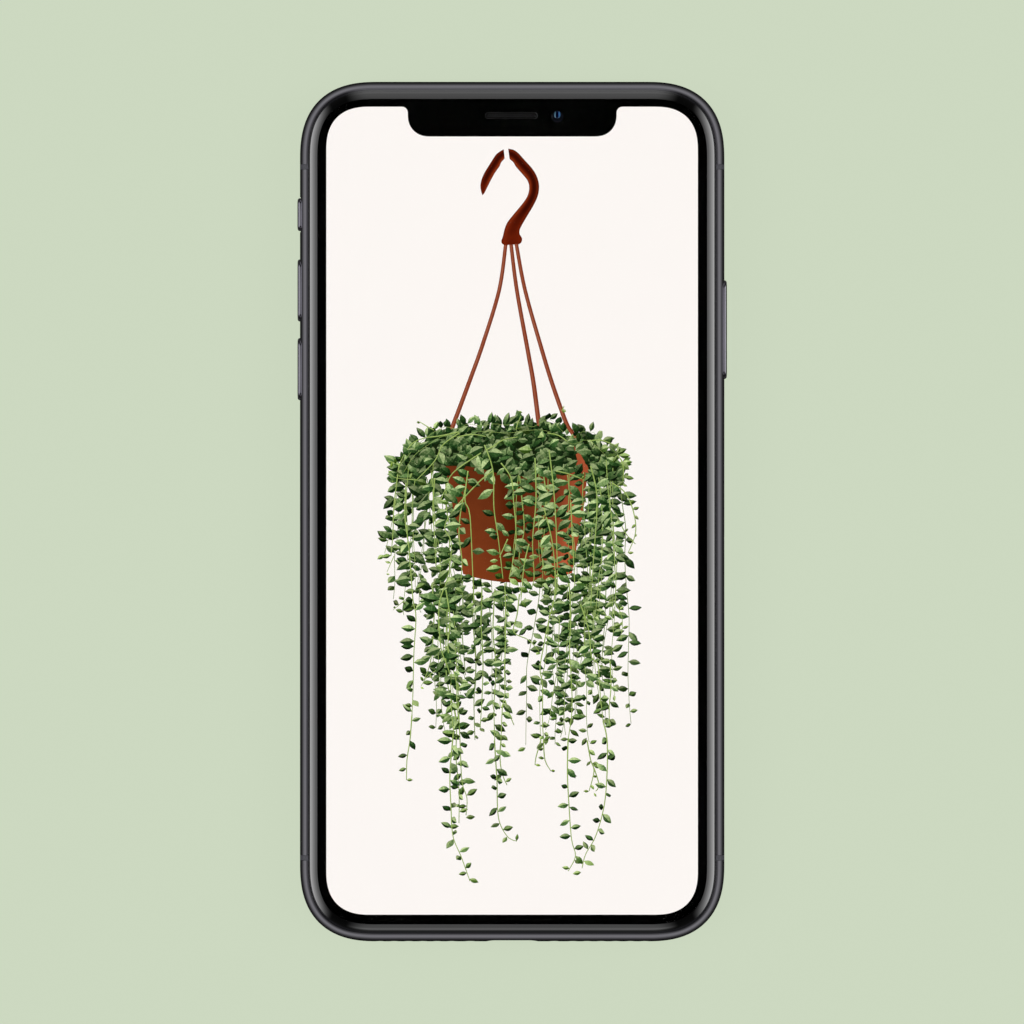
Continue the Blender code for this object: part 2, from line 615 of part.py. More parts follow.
def make_vent_mesh(name, side):
    xs = sorted(vent_positions(side))
    reach = VENT_RADIUS + VENT_MESH_MARGIN
    block(name, (xs[0] - reach, xs[-1] + reach), VENT_MESH_Y,
          (MID_HEIGHT - reach, MID_HEIGHT + reach), "mesh_metal")


def make_rear_cameras():
    """A flush window with two lens covers and a flash, and the modules behind it."""
    ring = [camera_window_outline(TRIM_RADIUS), camera_window_outline(TRIM_RADIUS - TRIM_WALL)]
    prism("camera_trim", ring, 0.0, TRIM_HEIGHT, "graphite_steel")
    lens_ys = {"upper": CAMERA_Y + CAMERA_APART / 2, "lower": CAMERA_Y - CAMERA_APART / 2}
    window = [camera_window_outline(TRIM_RADIUS - TRIM_WALL - HAIRLINE)]
    window += [circle((CAMERA_X, y), LENS_RADIUS + HAIRLINE) for y in lens_ys.values()]
    window.append(circle((CAMERA_X, CAMERA_Y), FLASH_RADIUS + HAIRLINE, SMALL_SEGMENTS))
    prism("camera_glass", window, 0.0, WINDOW_THICKNESS, "rear_glass")
    half = CAMERA_BLOCK_HALF
    for word, y in lens_ys.items():
        prism(f"lens_cover_{word}", [circle((CAMERA_X, y), LENS_RADIUS)], 0.0,
              LENS_COVER_THICKNESS, "lens_glass")
        camera = block(f"rear_camera_{word}", (CAMERA_X - half, CAMERA_X + half),
                       (y - half, y + half), CAMERA_BLOCK_Z, "black_resin", CLEARANCE)
        barrel = prism("rear barrel", [circle((CAMERA_X, y), BARREL_RADIUS)], BEHIND_WINDOW_Z,
                       CAMERA_BLOCK_Z[0] + LAP)
        boolean(camera, "UNION", barrel)
    flash = circle((CAMERA_X, CAMERA_Y), FLASH_RADIUS, SMALL_SEGMENTS)
    prism("flash_lens", [flash], 0.0, WINDOW_THICKNESS, "flash_resin")
    wide, long = FLASH_BOARD_HALF
    block("flash_board", (CAMERA_X - wide, CAMERA_X + wide), (CAMERA_Y - long, CAMERA_Y + long),
          (BEHIND_WINDOW_Z, FLASH_BOARD_TOP), "circuit_board", HAIRLINE)


def make_chassis():
    """The steel plate under everything, open round the charging coil and the rear cameras."""
    fine = 2 * ROUND_SEGMENTS
    plate = [outline(CHASSIS_INSET), circle((0, 0), COIL_OPENING, fine),
             camera_window_outline(TRIM_RADIUS + CLEARANCE)]
    prism("chassis_plate", plate, *CHASSIS_Z, "sheet_steel")
    coil = [circle((0, 0), radius, fine) for radius in reversed(COIL_RADII)]
    prism("charging_coil", coil, *COIL_Z, "copper")
    prism("coil_shield", [circle((0, 0), COIL_SHIELD_RADIUS, fine)], *COIL_SHIELD_Z, "ferrite")


make_band()
cut_sides()
cut_bottom()
make_key("volume_up_button", -1, VOLUME_UP_Y, VOLUME_HALF, "volume_up_contact")
make_key("volume_down_button", -1, VOLUME_DOWN_Y, VOLUME_HALF, "volume_down_contact")
make_key("side_button", 1, SIDE_KEY_Y, SIDE_KEY_HALF, "side_contact")
make_mute_switch()
make_glass()
make_display()
make_laid_in_pieces()
finish_notch_hardware()
make_card_tray()
make_card_reader()
make_port()
make_screw("bottom_screw_left", -SCREW_X)
make_screw("bottom_screw_right", SCREW_X)
make_vent_mesh("microphone_mesh", -1)
make_vent_mesh("loudspeaker_mesh", 1)
make_rear_cameras()
make_chassis()

for piece in phone.objects:
    piece.data.shade_smooth()
    piece.data.set_sharp_from_angle(angle=SMOOTH_ANGLE)
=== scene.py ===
# %% [markdown]
# # A smartphone that shows a hanging plant
# The phone lies on its back, screen up, and the camera looks straight down on it. The solid
# model is the fixed frame. This lesson dresses it: a finer band and glass from the same
# formulas, finishes for every surface, and the picture that the screen shows, drawn by rule.
# All lengths are metres. +X is right and +Y is up on the screen, and +Z comes out of it.

# %% Load the frame
import json
import math
import random

import bmesh
import bpy
from mathutils import Matrix, Vector


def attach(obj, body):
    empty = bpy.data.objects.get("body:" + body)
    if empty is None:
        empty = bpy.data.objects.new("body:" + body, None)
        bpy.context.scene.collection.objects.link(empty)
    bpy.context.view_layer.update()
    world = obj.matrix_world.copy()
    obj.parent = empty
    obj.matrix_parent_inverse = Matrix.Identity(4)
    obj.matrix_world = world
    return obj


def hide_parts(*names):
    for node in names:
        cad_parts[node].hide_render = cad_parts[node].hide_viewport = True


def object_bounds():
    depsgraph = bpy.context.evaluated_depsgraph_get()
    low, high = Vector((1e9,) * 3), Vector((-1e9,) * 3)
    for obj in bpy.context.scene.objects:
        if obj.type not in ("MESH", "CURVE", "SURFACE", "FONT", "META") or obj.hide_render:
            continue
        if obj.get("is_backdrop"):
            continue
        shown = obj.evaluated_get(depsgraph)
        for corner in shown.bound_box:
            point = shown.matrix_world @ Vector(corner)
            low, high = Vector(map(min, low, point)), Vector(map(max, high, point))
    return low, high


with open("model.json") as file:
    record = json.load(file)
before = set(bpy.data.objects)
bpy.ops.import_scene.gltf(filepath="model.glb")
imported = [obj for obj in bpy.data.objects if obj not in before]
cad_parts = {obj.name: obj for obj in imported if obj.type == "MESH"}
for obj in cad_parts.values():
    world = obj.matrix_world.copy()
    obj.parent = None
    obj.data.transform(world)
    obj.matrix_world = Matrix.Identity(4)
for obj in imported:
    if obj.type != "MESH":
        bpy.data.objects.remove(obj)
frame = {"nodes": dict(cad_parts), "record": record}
solid_low, solid_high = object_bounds()
slot_of = {part["node"]: part["material_slot"] for part in frame["record"]["subparts"]}

# %% [markdown]
# ## Driving sizes
# Every outline on the front is one shape: a rounded rectangle with squarish corners (a
# superellipse), moved inwards by some inset. The side of the phone is half an ellipse, so
# one formula gives the height of the surface at any inset.

# %% Sizes of the body
MM = 0.001
QUARTER = math.pi / 2
HALF_WIDTH, HALF_LENGTH, THICKNESS = 0.0709 / 2, 0.1436 / 2, 0.0077
MIDDLE = THICKNESS / 2
CORNER_SPAN, CORNER_POWER, CORNER_STEPS = 0.0130, 2.5, 40
EDGE_ROUND = 0.00295
GLASS_LOW, REBATE_LOW = 0.0069, 0.00675
BAND_LIP, GLASS_INSET, WALL_DEPTH = 0.00142, 0.00172, 0.0028
BREAK_HALF, UPPER_BREAK_Y, LOWER_BREAK_Y = 0.00045, 0.05755, -0.0578
HAIRLINE = 0.0001


def turns(low, high, steps):
    """Angles from one to another in even steps."""
    return [low + (high - low) * step / steps for step in range(steps + 1)]


def outline(inset, half=(HALF_WIDTH, HALF_LENGTH), corner=CORNER_SPAN):
    """The squarish rounded rectangle, counter-clockwise, moved in by an inset along its normals."""
    quarter = []
    for turn in turns(0, QUARTER, CORNER_STEPS):
        cos, sin = max(math.cos(turn), 0.0), max(math.sin(turn), 0.0)
        normal = Vector((cos ** (2 - 2 / CORNER_POWER), sin ** (2 - 2 / CORNER_POWER))).normalized()
        x = half[0] - corner + corner * cos ** (2 / CORNER_POWER) - inset * normal.x
        y = half[1] - corner + corner * sin ** (2 / CORNER_POWER) - inset * normal.y
        quarter.append((x, y))
    upper = quarter + [(-x, y) for x, y in reversed(quarter)]
    return upper + [(-x, -y) for x, y in upper]


def surface_rise(inset):
    """How far the rounded side has risen above the middle height at an inset."""
    return MIDDLE * math.sqrt(max(0.0, 1 - (1 - inset / EDGE_ROUND) ** 2))


print(f"The glass rim starts {surface_rise(GLASS_INSET) / MM:.2f} mm above the middle")

# %% [markdown]
# ## Helpers for node trees
# Materials and Geometry Nodes are both trees of nodes. One class adds a node, sets its
# options, and gives each input a number or a link. A function runs a Geometry Nodes tree on
# an object and returns the plain mesh, so that nothing live is left on the piece.

# %% Trees and their values


class Value:
    """A node's output. A sum with it adds a Math node to its tree."""

    def __init__(self, tree, socket):
        self.tree, self.socket = tree, socket

    def all(self):
        return [Value(self.tree, socket) for socket in self.socket.node.outputs]

    def maths(self, operation, *others):
        return self.tree.maths(operation, self, *others)

    def __add__(self, other):
        return self.maths("ADD", other)

    def __sub__(self, other):
        return self.maths("SUBTRACT", other)

    def __rsub__(self, other):
        return self.tree.maths("SUBTRACT", other, self)

    def __mul__(self, other):
        return self.maths("MULTIPLY", other)

    def __truediv__(self, other):
        return self.maths("DIVIDE", other)


class Tree:
    """A node tree, with short ways to add to it."""

    def __init__(self, group):
        self.group = group

    def give(self, socket, value):
        """Gives a socket a number, or links an output to it."""
        if isinstance(value, Value):
            self.group.links.new(value.socket, socket)
        else:
            socket.default_value = value

    def add(self, kind, inputs=None, out=0, **options):
        """Adds a node, with its inputs by name or number. Returns one of its outputs."""
        node = self.group.nodes.new(kind)
        for option, value in options.items():
            setattr(node, option, value)
        for key, value in (inputs or {}).items():
            self.give(node.inputs[key], value)
        return Value(self, node.outputs[out])

    def geo(self, kind, inputs=None, out=0, **options):
        return self.add("GeometryNode" + kind, inputs, out, **options)

    def maths(self, operation, *values):
        return self.add("ShaderNodeMath", dict(enumerate(values)), operation=operation)

    def mix(self, amount, first, second, blend="MIX"):
        colours = {0: amount, 6: first, 7: second}
        return self.add("ShaderNodeMix", colours, 2, data_type="RGBA", blend_type=blend)

    def between(self, value, low, high, to_low=0.0, to_high=1.0, kind="LINEAR"):
        """A value mapped from one range to another."""
        ends = dict(enumerate((value, low, high, to_low, to_high)))
        return self.add("ShaderNodeMapRange", ends, interpolation_type=kind)

    def vector(self, x=0.0, y=0.0, z=0.0):
        return self.add("ShaderNodeCombineXYZ", {0: x, 1: y, 2: z})

    def parts(self, vector):
        return self.add("ShaderNodeSeparateXYZ", {0: vector}).all()

    def place(self, kind="Object"):
        return self.add("ShaderNodeTexCoord", out=kind)

    def noise(self, size, detail=2.0):
        inputs = {"Vector": self.place(), "Scale": 1 / size, "Detail": detail}
        return self.add("ShaderNodeTexNoise", inputs)

    def ramp(self, factor, stops):
        """A ramp through colours at their places."""
        ramp = self.add("ShaderNodeValToRGB", {0: factor})
        elements = ramp.socket.node.color_ramp.elements
        for i, (at, colour) in enumerate(stops):
            element = elements[i] if i < len(elements) else elements.new(at)
            element.position = at
            element.color = colour
        return ramp

    def end(self, geometry, finish):
        """The tree's end: real faces with a material, so that nothing stays an instance."""
        real = self.geo("RealizeInstances", {0: geometry})
        dressed = self.geo("SetMaterial", {0: real, 2: finish})
        self.give(self.group.nodes.new("NodeGroupOutput").inputs[0], dressed)


# %% Objects and meshes


def new_tree(name, kind=Tree, **inputs):
    """A Geometry Nodes tree, and its inputs: the geometry, the named ones and the finish."""
    group = bpy.data.node_groups.new(name, "GeometryNodeTree")
    for label, socket in {"Geometry": "Geometry", **inputs, "Finish": "Material"}.items():
        group.interface.new_socket(label, in_out="INPUT", socket_type="NodeSocket" + socket)
    group.interface.new_socket("Geometry", in_out="OUTPUT", socket_type="NodeSocketGeometry")
    tree = kind(group)
    return tree, tree.add("NodeGroupInput").all()[:-1]


def new_material(name, **constants):
    """A Principled material with constants on its own sockets. Returns its tree and sockets too."""
    material = bpy.data.materials.new(name)
    material.use_nodes = True
    sockets = material.node_tree.nodes["Principled BSDF"].inputs
    for label, value in constants.items():
        sockets[label.replace("_", " ")].default_value = value
    return material, Tree(material.node_tree), sockets


def linked(name, data):
    obj = bpy.data.objects.new(name, data)
    bpy.context.scene.collection.objects.link(obj)
    return obj


def discard(*objects):
    for obj in objects:
        bpy.data.objects.remove(obj, do_unlink=True)


def evaluated(obj):
    """What an object's curve or modifiers make, as a plain mesh."""
    bpy.context.view_layer.update()
    graph = bpy.context.evaluated_depsgraph_get()
    return bpy.data.meshes.new_from_object(obj.evaluated_get(graph), depsgraph=graph)


def run_tree(obj, tree, **values):
    """Runs a tree on an object with named inputs, and returns the result as a plain mesh."""
    modifier = obj.modifiers.new("tree", "NODES")
    modifier.node_group = tree.group
    for item in tree.group.interface.items_tree:
        if item.name.lower() in values:
            modifier[item.identifier] = values[item.name.lower()]
    mesh = evaluated(obj)
    obj.modifiers.remove(modifier)
    return mesh


def run_alone(tree, place, **values):
    """Runs a tree that makes its own geometry, on an empty object, and moves what it makes."""
    carrier = linked("carrier", bpy.data.meshes.new("carrier"))
    mesh = run_tree(carrier, tree, **values)
    discard(carrier)
    mesh.materials.clear()
    mesh.transform(Matrix.Translation(place))
    return mesh


# %% [markdown]
# ## Finishes
# No surface of the real phone is one even colour. Each finish starts from a fine noise that
# moves its colour, its roughness and its relief a little, at the scale of the real grain.
# Numbers that are the same all over sit on the shader's own sockets.

# %% A finish with grain
# Each finish: colour, roughness, metallic, size of the grain, spread of the colour, spread
# of the roughness, relief, and how the grain is stretched.
FINISHES = {
    "graphite_steel": ((0.265, 0.258, 0.285), 0.08, 1.0, 0.0005, 0.05, 0.02, 0.005),
    "antenna_plastic": ((0.035, 0.034, 0.042), 0.3, 0, 0.0001, 0.2, 0.05, 0.05),
    "front_glass": ((1, 1, 1), 0.012, 0, 0.006, 0.0, 0.01, 0.0),
    "rear_glass": ((0.022, 0.022, 0.026), 0.09, 0, 0.0002, 0.3, 0.02, 0.0),
    "printed_rim": ((0.0012, 0.0012, 0.0012), 0.012, 0, 0.006, 0.2, 0.004, 0.0),
    "key_steel": ((0.062, 0.060, 0.069), 0.14, 1.0, 0.0003, 0.06, 0.02, 0.005),
    "mesh_metal": ((0.0016, 0.0016, 0.0016), 0.5, 0, 0.00005, 0.3, 0.1, 0.1),
    "sheet_steel": ((0.5, 0.51, 0.53), 0.32, 1.0, 0.0003, 0.12, 0.08, 0.05, (1, 0.08, 1)),
    "copper": ((0.72, 0.35, 0.20), 0.35, 1.0, 0.0003, 0.15, 0.08, 0.1),
    "ferrite": ((0.05, 0.05, 0.06), 0.7, 0, 0.0003, 0.3, 0.1, 0.2),
    "circuit_board": ((0.01, 0.06, 0.10), 0.45, 0, 0.0008, 0.4, 0.1, 0.1),
    "battery_pouch": ((0.02, 0.02, 0.02), 0.5, 0.1, 0.003, 0.25, 0.1, 0.5),
    "black_resin": ((0.018, 0.018, 0.019), 0.5, 0, 0.0001, 0.3, 0.1, 0.1),
    "flex_film": ((0.25, 0.12, 0.02), 0.4, 0, 0.001, 0.2, 0.1, 0.05),
    "lens_glass": ((0.75, 0.8, 0.95), 0.02, 0, 0.002, 0.02, 0.01, 0.0),
    "flash_resin": ((0.85, 0.78, 0.50), 0.25, 0, 0.0003, 0.1, 0.1, 0.4),
    "card_plastic": ((0.82, 0.82, 0.83), 0.45, 0, 0.0004, 0.04, 0.05, 0.05),
    "black_print": ((0.0012, 0.0012, 0.0012), 0.6, 0, 0.0005, 0.2, 0.1, 0.05),
    "gasket_rubber": ((0.004, 0.004, 0.005), 0.16, 0, 0.0001, 0.3, 0.03, 0.02),
    "gold_contact": ((0.85, 0.60, 0.22), 0.22, 1.0, 0.0002, 0.08, 0.06, 0.05),
    "lens_coating": ((0.012, 0.037, 0.10), 0.06, 1.0, 0.0004, 0.3, 0.02, 0.02),
    "front_coating": ((0.013, 0.040, 0.10), 0.3, 1.0, 0.0004, 0.2, 0.02, 0.02),
    "camera_navy": ((0.0008, 0.0012, 0.005), 0.5, 0, 0.0002, 0.3, 0.05, 0.05),
    "orange_mark": ((0.75, 0.12, 0.01), 0.5, 0, 0.0002, 0.1, 0.1, 0.05),
}
GRAIN_DETAIL, GRAIN_ROUGHNESS, GRAIN_DEPTH = 3.0, 0.6, 0.25
CONSTANTS = {
    "front_glass": {"Transmission_Weight": 1.0, "IOR": 1.5},
    "rear_glass": {"Coat_Weight": 1.0, "Coat_Roughness": 0.03},
    "lens_glass": {"Transmission_Weight": 1.0, "IOR": 1.6},
    "mesh_metal": {"Specular_IOR_Level": 0.05},
    "black_print": {"Specular_IOR_Level": 0.0},
    "camera_navy": {"Specular_IOR_Level": 0.1},
}


def finish_of(name, colour, roughness, metallic, grain, spread, rough_spread, relief, stretch=(1, 1, 1)):
    """A Principled finish whose colour, roughness and relief follow a fine stretched noise."""
    material, tree, sockets = new_material(name, Metallic=metallic, **CONSTANTS.get(name, {}))
    scale = [share / grain for share in stretch]
    mapped = tree.add("ShaderNodeMapping", {"Vector": tree.place(), "Scale": scale})
    inputs = {"Vector": mapped, "Scale": 1.0, "Detail": GRAIN_DETAIL, "Roughness": GRAIN_ROUGHNESS}
    noise = tree.add("ShaderNodeTexNoise", inputs)
    dark, light = ([min(1.0, c * gain) for c in colour] + [1.0] for gain in (1 - spread, 1 + spread))
    rough_ends = (max(0.0, roughness - rough_spread), roughness + rough_spread)
    bump = {"Strength": relief, "Distance": grain * GRAIN_DEPTH, "Height": noise}
    tree.give(sockets["Base Color"], tree.mix(noise, dark, light))
    tree.give(sockets["Roughness"], tree.between(noise, 0.0, 1.0, *rough_ends))
    tree.give(sockets["Normal"], tree.add("ShaderNodeBump", bump))
    return material


finishes = {name: finish_of(name, *numbers) for name, numbers in FINISHES.items()}
print(f"{len(finishes)} finishes")

# %% [markdown]
# ## Dress what stays
# The boards, shields and modules inside are right as they are. Each takes the finish of its
# own slot. The screen's finish comes later, with the picture.

# %% Finishes on the solids
for node, obj in frame["nodes"].items():
    obj.data.materials.clear()
    obj.data.materials.append(finishes.get(slot_of[node], finishes["black_resin"]))


def settle(obj, slot, body="phone", replaces=None, finish=None):
    """Gives a finished piece its material, the finish's or else the slot's, and says what it rides on and
    replaces.
    """
    if not obj.data.materials:
        obj.data.materials.append(finishes[finish or slot])
    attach(obj, body)
    if replaces:
        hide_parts(replaces)
    print(f"{obj.name}: {sum(len(face.vertices) - 2 for face in obj.data.polygons)} triangles on {body}")


# %% [markdown]
# ## Camera, floor and studio
# The photograph has no perspective to speak of, so the camera stands far off with a very
# long lens. The studio is the world itself: dark overhead, where the flat glass looks, tall
# soft lights on both long sides, dimmer ones at both ends, and dark corners between. The
# curved glass rim and the metal band mirror them. The floor glows a little, which keeps the
# phone's own shadow faint, and mirrors pass through it, as if the phone stood free.

# %% Camera
IMAGE_PIXELS, PIXEL = 1024, 0.16695 * MM
LENS, SENSOR = 500.0, 36.0
SCALE_HEIGHT = 0.0058
CENTRE_SHIFT = (0.2 * PIXEL, 0.4 * PIXEL)

camera_data = bpy.data.cameras.new("camera")
camera_data.lens = LENS
camera_data.sensor_width = SENSOR
camera_data.clip_start = 0.05
camera_data.clip_end = 20.0
camera = linked("camera", camera_data)
rise = IMAGE_PIXELS * PIXEL * LENS / SENSOR
camera.location = (-CENTRE_SHIFT[0], -CENTRE_SHIFT[1], SCALE_HEIGHT + rise)
bpy.context.scene.camera = camera
bpy.context.scene.view_settings.view_transform = "Standard"
print(f"The camera is {rise:.2f} m above the phone")

# %% Floor
FLOOR_SIZE, FLOOR_COLOUR = 12.0, (0.604, 0.686, 0.527)
FLOOR_GLOW, FLOOR_ANSWER, FLOOR_SPREAD = 0.95, 0.03, 0.03
FIBRE_SIZE, FIBRE_DETAIL = 1 / 60, 4.0

bpy.ops.mesh.primitive_plane_add(size=FLOOR_SIZE)
floor = bpy.context.object
floor.name = "floor"
paper, tree, sockets = new_material(
    "floor paper", Roughness=1.0, Specular_IOR_Level=0.0, Emission_Strength=FLOOR_GLOW,
    Emission_Color=(*FLOOR_COLOUR, 1))
dark, light = ([c * FLOOR_ANSWER * gain for c in FLOOR_COLOUR] + [1]
               for gain in (1 - FLOOR_SPREAD, 1 + FLOOR_SPREAD))
tree.give(sockets["Base Color"], tree.mix(tree.noise(FIBRE_SIZE, FIBRE_DETAIL), dark, light))
floor.data.materials.append(paper)
floor.visible_glossy = False
floor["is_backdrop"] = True

# %% Studio
# Brightness by height above the horizon, as the sine of that height, from -1 to 1. The
# band mirrors what is below 0.3, and the glass rim what is above it.
SIDE_LIGHT = ((-0.95, 0.02), (-0.775, 0.036), (-0.632, 0.141), (-0.487, 0.39), (-0.339, 0.545),
              (-0.189, 0.633), (-0.04, 0.295), (0.106, 0.16), (0.246, 0.06), (0.41, 0.15), (0.46, 9.0),
              (0.54, 9.8), (0.66, 7.4), (0.76, 6.5), (0.845, 4.8), (0.915, 4.1), (0.965, 2.6),
              (1.0, 2.6))
TOP_LIGHT = ((-0.95, 0.005), (-0.871, 0.01), (-0.732, 0.068), (-0.591, 0.165), (-0.442, 0.46),
             (-0.293, 0.58), (-0.147, 0.55), (0.004, 0.32), (0.1, 0.4), (0.2, 0.45), (0.28, 2.2),
             (0.36, 2.3), (0.46, 1.9), (0.54, 2.4), (0.66, 2.1), (0.76, 1.6), (0.845, 1.75),
             (0.915, 1.55), (0.965, 1.4), (1.0, 1.5))
BOTTOM_LIGHT = ((-0.95, 0.005), (-0.84, 0.012), (-0.70, 0.059), (-0.56, 0.18), (-0.413, 0.435),
                (-0.263, 0.595), (-0.11, 0.56), (0.03, 0.243), (0.178, 0.103), (0.40, 0.25), (0.5, 0.3),
                (0.57, 0.5), (0.66, 1.5), (0.72, 2.6), (0.76, 2.9), (0.80, 2.1), (0.845, 1.75),
                (0.915, 1.55), (0.965, 1.45), (1.0, 1.6))
CORNER_LIGHT = ((-0.95, 0.02), (-0.795, 0.03), (-0.651, 0.12), (-0.515, 0.35), (-0.36, 0.58),
                (-0.21, 0.6), (-0.06, 0.3), (0.087, 0.06), (0.24, 0.01), (0.4, 0.12), (0.6, 0.04),
                (0.8, 0.02), (0.95, 0.0))
SIDE_REACH = (0.60, 1.08)
END_REACH = (0.34, 0.04)
END_CHANGE = (-0.1, 0.1)
OVERHEAD = (0.9993, 0.9975)
BRIGHTEST = 10.0

world = bpy.data.worlds.new("studio")
bpy.context.scene.world = world
world.use_nodes = True
tree = Tree(world.node_tree)
x, y, z = tree.parts(tree.place("Generated"))
sideways = (x * x / tree.maths("SUBTRACT", 1.0001, z * z)).maths("SQRT")
height = z.maths("MULTIPLY_ADD", 0.5, 0.5)


def light_profile(stops):
    """The brightness at each height, as a ramp of greys in tenths."""
    return tree.ramp(height, [((at + 1) / 2, [level / BRIGHTEST] * 3 + [1]) for at, level in stops])


def soft_step(tree, value, ends):
    """A smooth change from 0 to 1 between two values."""
    return tree.between(value, *ends, kind="SMOOTHSTEP")


sides, top, bottom, corners = map(light_profile, (SIDE_LIGHT, TOP_LIGHT, BOTTOM_LIGHT, CORNER_LIGHT))
total = tree.mix(soft_step(tree, sideways, SIDE_REACH), corners, sides)
ends = tree.mix(soft_step(tree, y, END_CHANGE), bottom, top)
total = tree.mix(soft_step(tree, sideways, END_REACH), total, ends)
total = tree.mix(soft_step(tree, z, OVERHEAD), (0, 0, 0, 1), total)
background = world.node_tree.nodes["Background"].inputs
tree.give(background["Color"], total)
tree.give(background["Strength"], BRIGHTEST)

# %% [markdown]
# ## Shapes from outlines
# Nearly everything on a phone is an outline given a thickness. A filled 2D curve makes a
# plate with any holes, and a loft joins rings of points that have the same count, which
# suits rims, keys and turned parts. A Boolean then cuts the openings.

# %% Outlines
WELD = 0.0000005


def circle(centre, radius, steps=48):
    return [(centre[0] + radius * math.cos(t), centre[1] + radius * math.sin(t))
            for t in turns(0, math.tau, steps)[:-1]]


def round_box(centre, half, radius, steps=8):
    """A rectangle with round corners."""
    points = []
    for quadrant, (side_x, side_y) in enumerate(((1, 1), (-1, 1), (-1, -1), (1, -1))):
        middle = (centre[0] + side_x * (half[0] - radius), centre[1] + side_y * (half[1] - radius))
        for turn in turns(QUARTER * quadrant, QUARTER * (quadrant + 1), steps):
            points.append((middle[0] + radius * math.cos(turn), middle[1] + radius * math.sin(turn)))
    return [point for i, point in enumerate(points) if math.dist(point, points[i - 1]) > WELD]


def stadium(centre, half_length, radius, grow=0.0, steps=12):
    """A bar with round ends, grown all round by some amount."""
    return round_box(centre, (half_length + grow, radius + grow), radius + grow, steps)


def ring(shape, at, axis=2):
    """A flat outline as points in space, at one place along an axis (0 is X and 2 is Z)."""
    return [(*point[:axis], at, *point[axis:]) for point in shape]


# %% Pieces
SMOOTH_ANGLE = math.radians(32)
EASE_STEPS = 3


def mesh_of(form, name):
    mesh = bpy.data.meshes.new(name)
    form.to_mesh(mesh)
    form.free()
    return mesh


def piece_from(name, mesh, smooth=True):
    """A piece at the origin, with its faces turned outwards."""
    form = bmesh.new()
    form.from_mesh(mesh)
    bmesh.ops.remove_doubles(form, verts=form.verts, dist=WELD)
    bmesh.ops.recalc_face_normals(form, faces=form.faces)
    form.to_mesh(mesh)
    form.free()
    if smooth:
        mesh.shade_smooth()
        mesh.set_sharp_from_angle(angle=SMOOTH_ANGLE)
    mesh.name = name
    return linked(name, mesh)


def plain_mesh(obj):
    """The object's evaluated mesh, with its place applied. The object is removed."""
    mesh = evaluated(obj)
    mesh.transform(obj.matrix_world)
    discard(obj)
    return mesh


def drawn(name, *outlines):
    """Closed outlines as a flat curve."""
    curve = bpy.data.curves.new(name, "CURVE")
    curve.dimensions = "2D"
    for points in outlines:
        spline = curve.splines.new("POLY")
        spline.points.add(len(points) - 1)
        for point, (x, y) in zip(spline.points, points):
            point.co = (x, y, 0.0, 1.0)
        spline.use_cyclic_u = True
    return linked(name, curve)


def prism(name, outlines, low, high, axis=2, ease=0.0):
    """A flat outline, with any holes, from low to high along an axis, with its edges eased."""
    obj = drawn(name, *outlines)
    obj.data.fill_mode = "BOTH"
    obj.data.extrude = (high - low) / 2 - ease
    obj.data.bevel_depth = ease
    obj.data.bevel_resolution = EASE_STEPS
    obj.location[axis] = (low + high) / 2
    obj.rotation_euler = ((QUARTER, 0, QUARTER), (QUARTER, 0, 0), (0, 0, 0))[axis]
    return piece_from(name, plain_mesh(obj))


def skin(form, rows, closed=False):
    """Faces between rows of points of one count, and from the last to the first where closed."""
    for i in range(0 if closed else 1, len(rows)):
        near, far = rows[i - 1], rows[i]
        for j in range(len(near)):
            form.faces.new((near[j - 1], near[j], far[j], far[j - 1]))


def loft(name, rings, ends=True, closed=False):
    """A skin through rings of points, with flat ends or its last ring joined to its first."""
    form = bmesh.new()
    rows = [[form.verts.new(point) for point in points] for points in rings]
    skin(form, rows, closed)
    if ends and not closed:
        form.faces.new(rows[0])
        form.faces.new(rows[-1])
    return piece_from(name, mesh_of(form, name))


def stack(name, shape_at, levels, axis=2, **options):
    """A loft of one outline, grown by its own amount at each level along an axis."""
    return loft(name, [ring(shape_at(grow), at, axis) for at, grow in levels], **options)


def turned(name, centre, profile, steps=48):
    """A shape turned about an axis along Z through a centre, from radius and height pairs."""
    return stack(name, lambda radius: circle(centre, radius, steps), [(z, radius) for radius, z in profile])


def boolean(obj, operation, *others):
    """Cuts a piece by others, or joins it to them."""
    name = obj.name
    for other in others:
        modifier = obj.modifiers.new("cut", "BOOLEAN")
        modifier.operation = operation
        modifier.solver = "EXACT"
        modifier.object = other
    mesh = plain_mesh(obj)
    discard(*others)
    return piece_from(name, mesh)


def merged(meshes):
    """Several meshes as one, with their stored values."""
    form = bmesh.new()
    for mesh in meshes:
        form.from_mesh(mesh)
    return mesh_of(form, "merged")


def joined(name, *objects):
    """Several pieces as one, for parts that are fixed to each other."""
    mesh = merged([obj.data for obj in objects])
    discard(*objects)
    return piece_from(name, mesh)


# %% [markdown]
# ## The metal band
# The band is one section carried round the outline, so a Geometry Nodes tree sweeps it:
# Curve to Mesh along the outline, with the section as the profile. The section is the half
# ellipse of the side, two small lips that hold the glass, and the flat inside wall. The
# ring is then parted where plastic breaks let the aerials work.

# %% Section and sweep
LIP_ROUND, LIP_DROP = 0.00003, 0.0001
SECTION_STEPS = 34

sweep_tree, (rail, section, finish) = new_tree("sweep a section", Section="Object")
upright = sweep_tree.geo("SetCurveNormal", {0: rail}, mode="Z_UP")
section = sweep_tree.geo("ObjectInfo", {0: section}, "Geometry")
sweep_tree.end(sweep_tree.geo("CurveToMesh", {0: upright, 1: section}), finish)


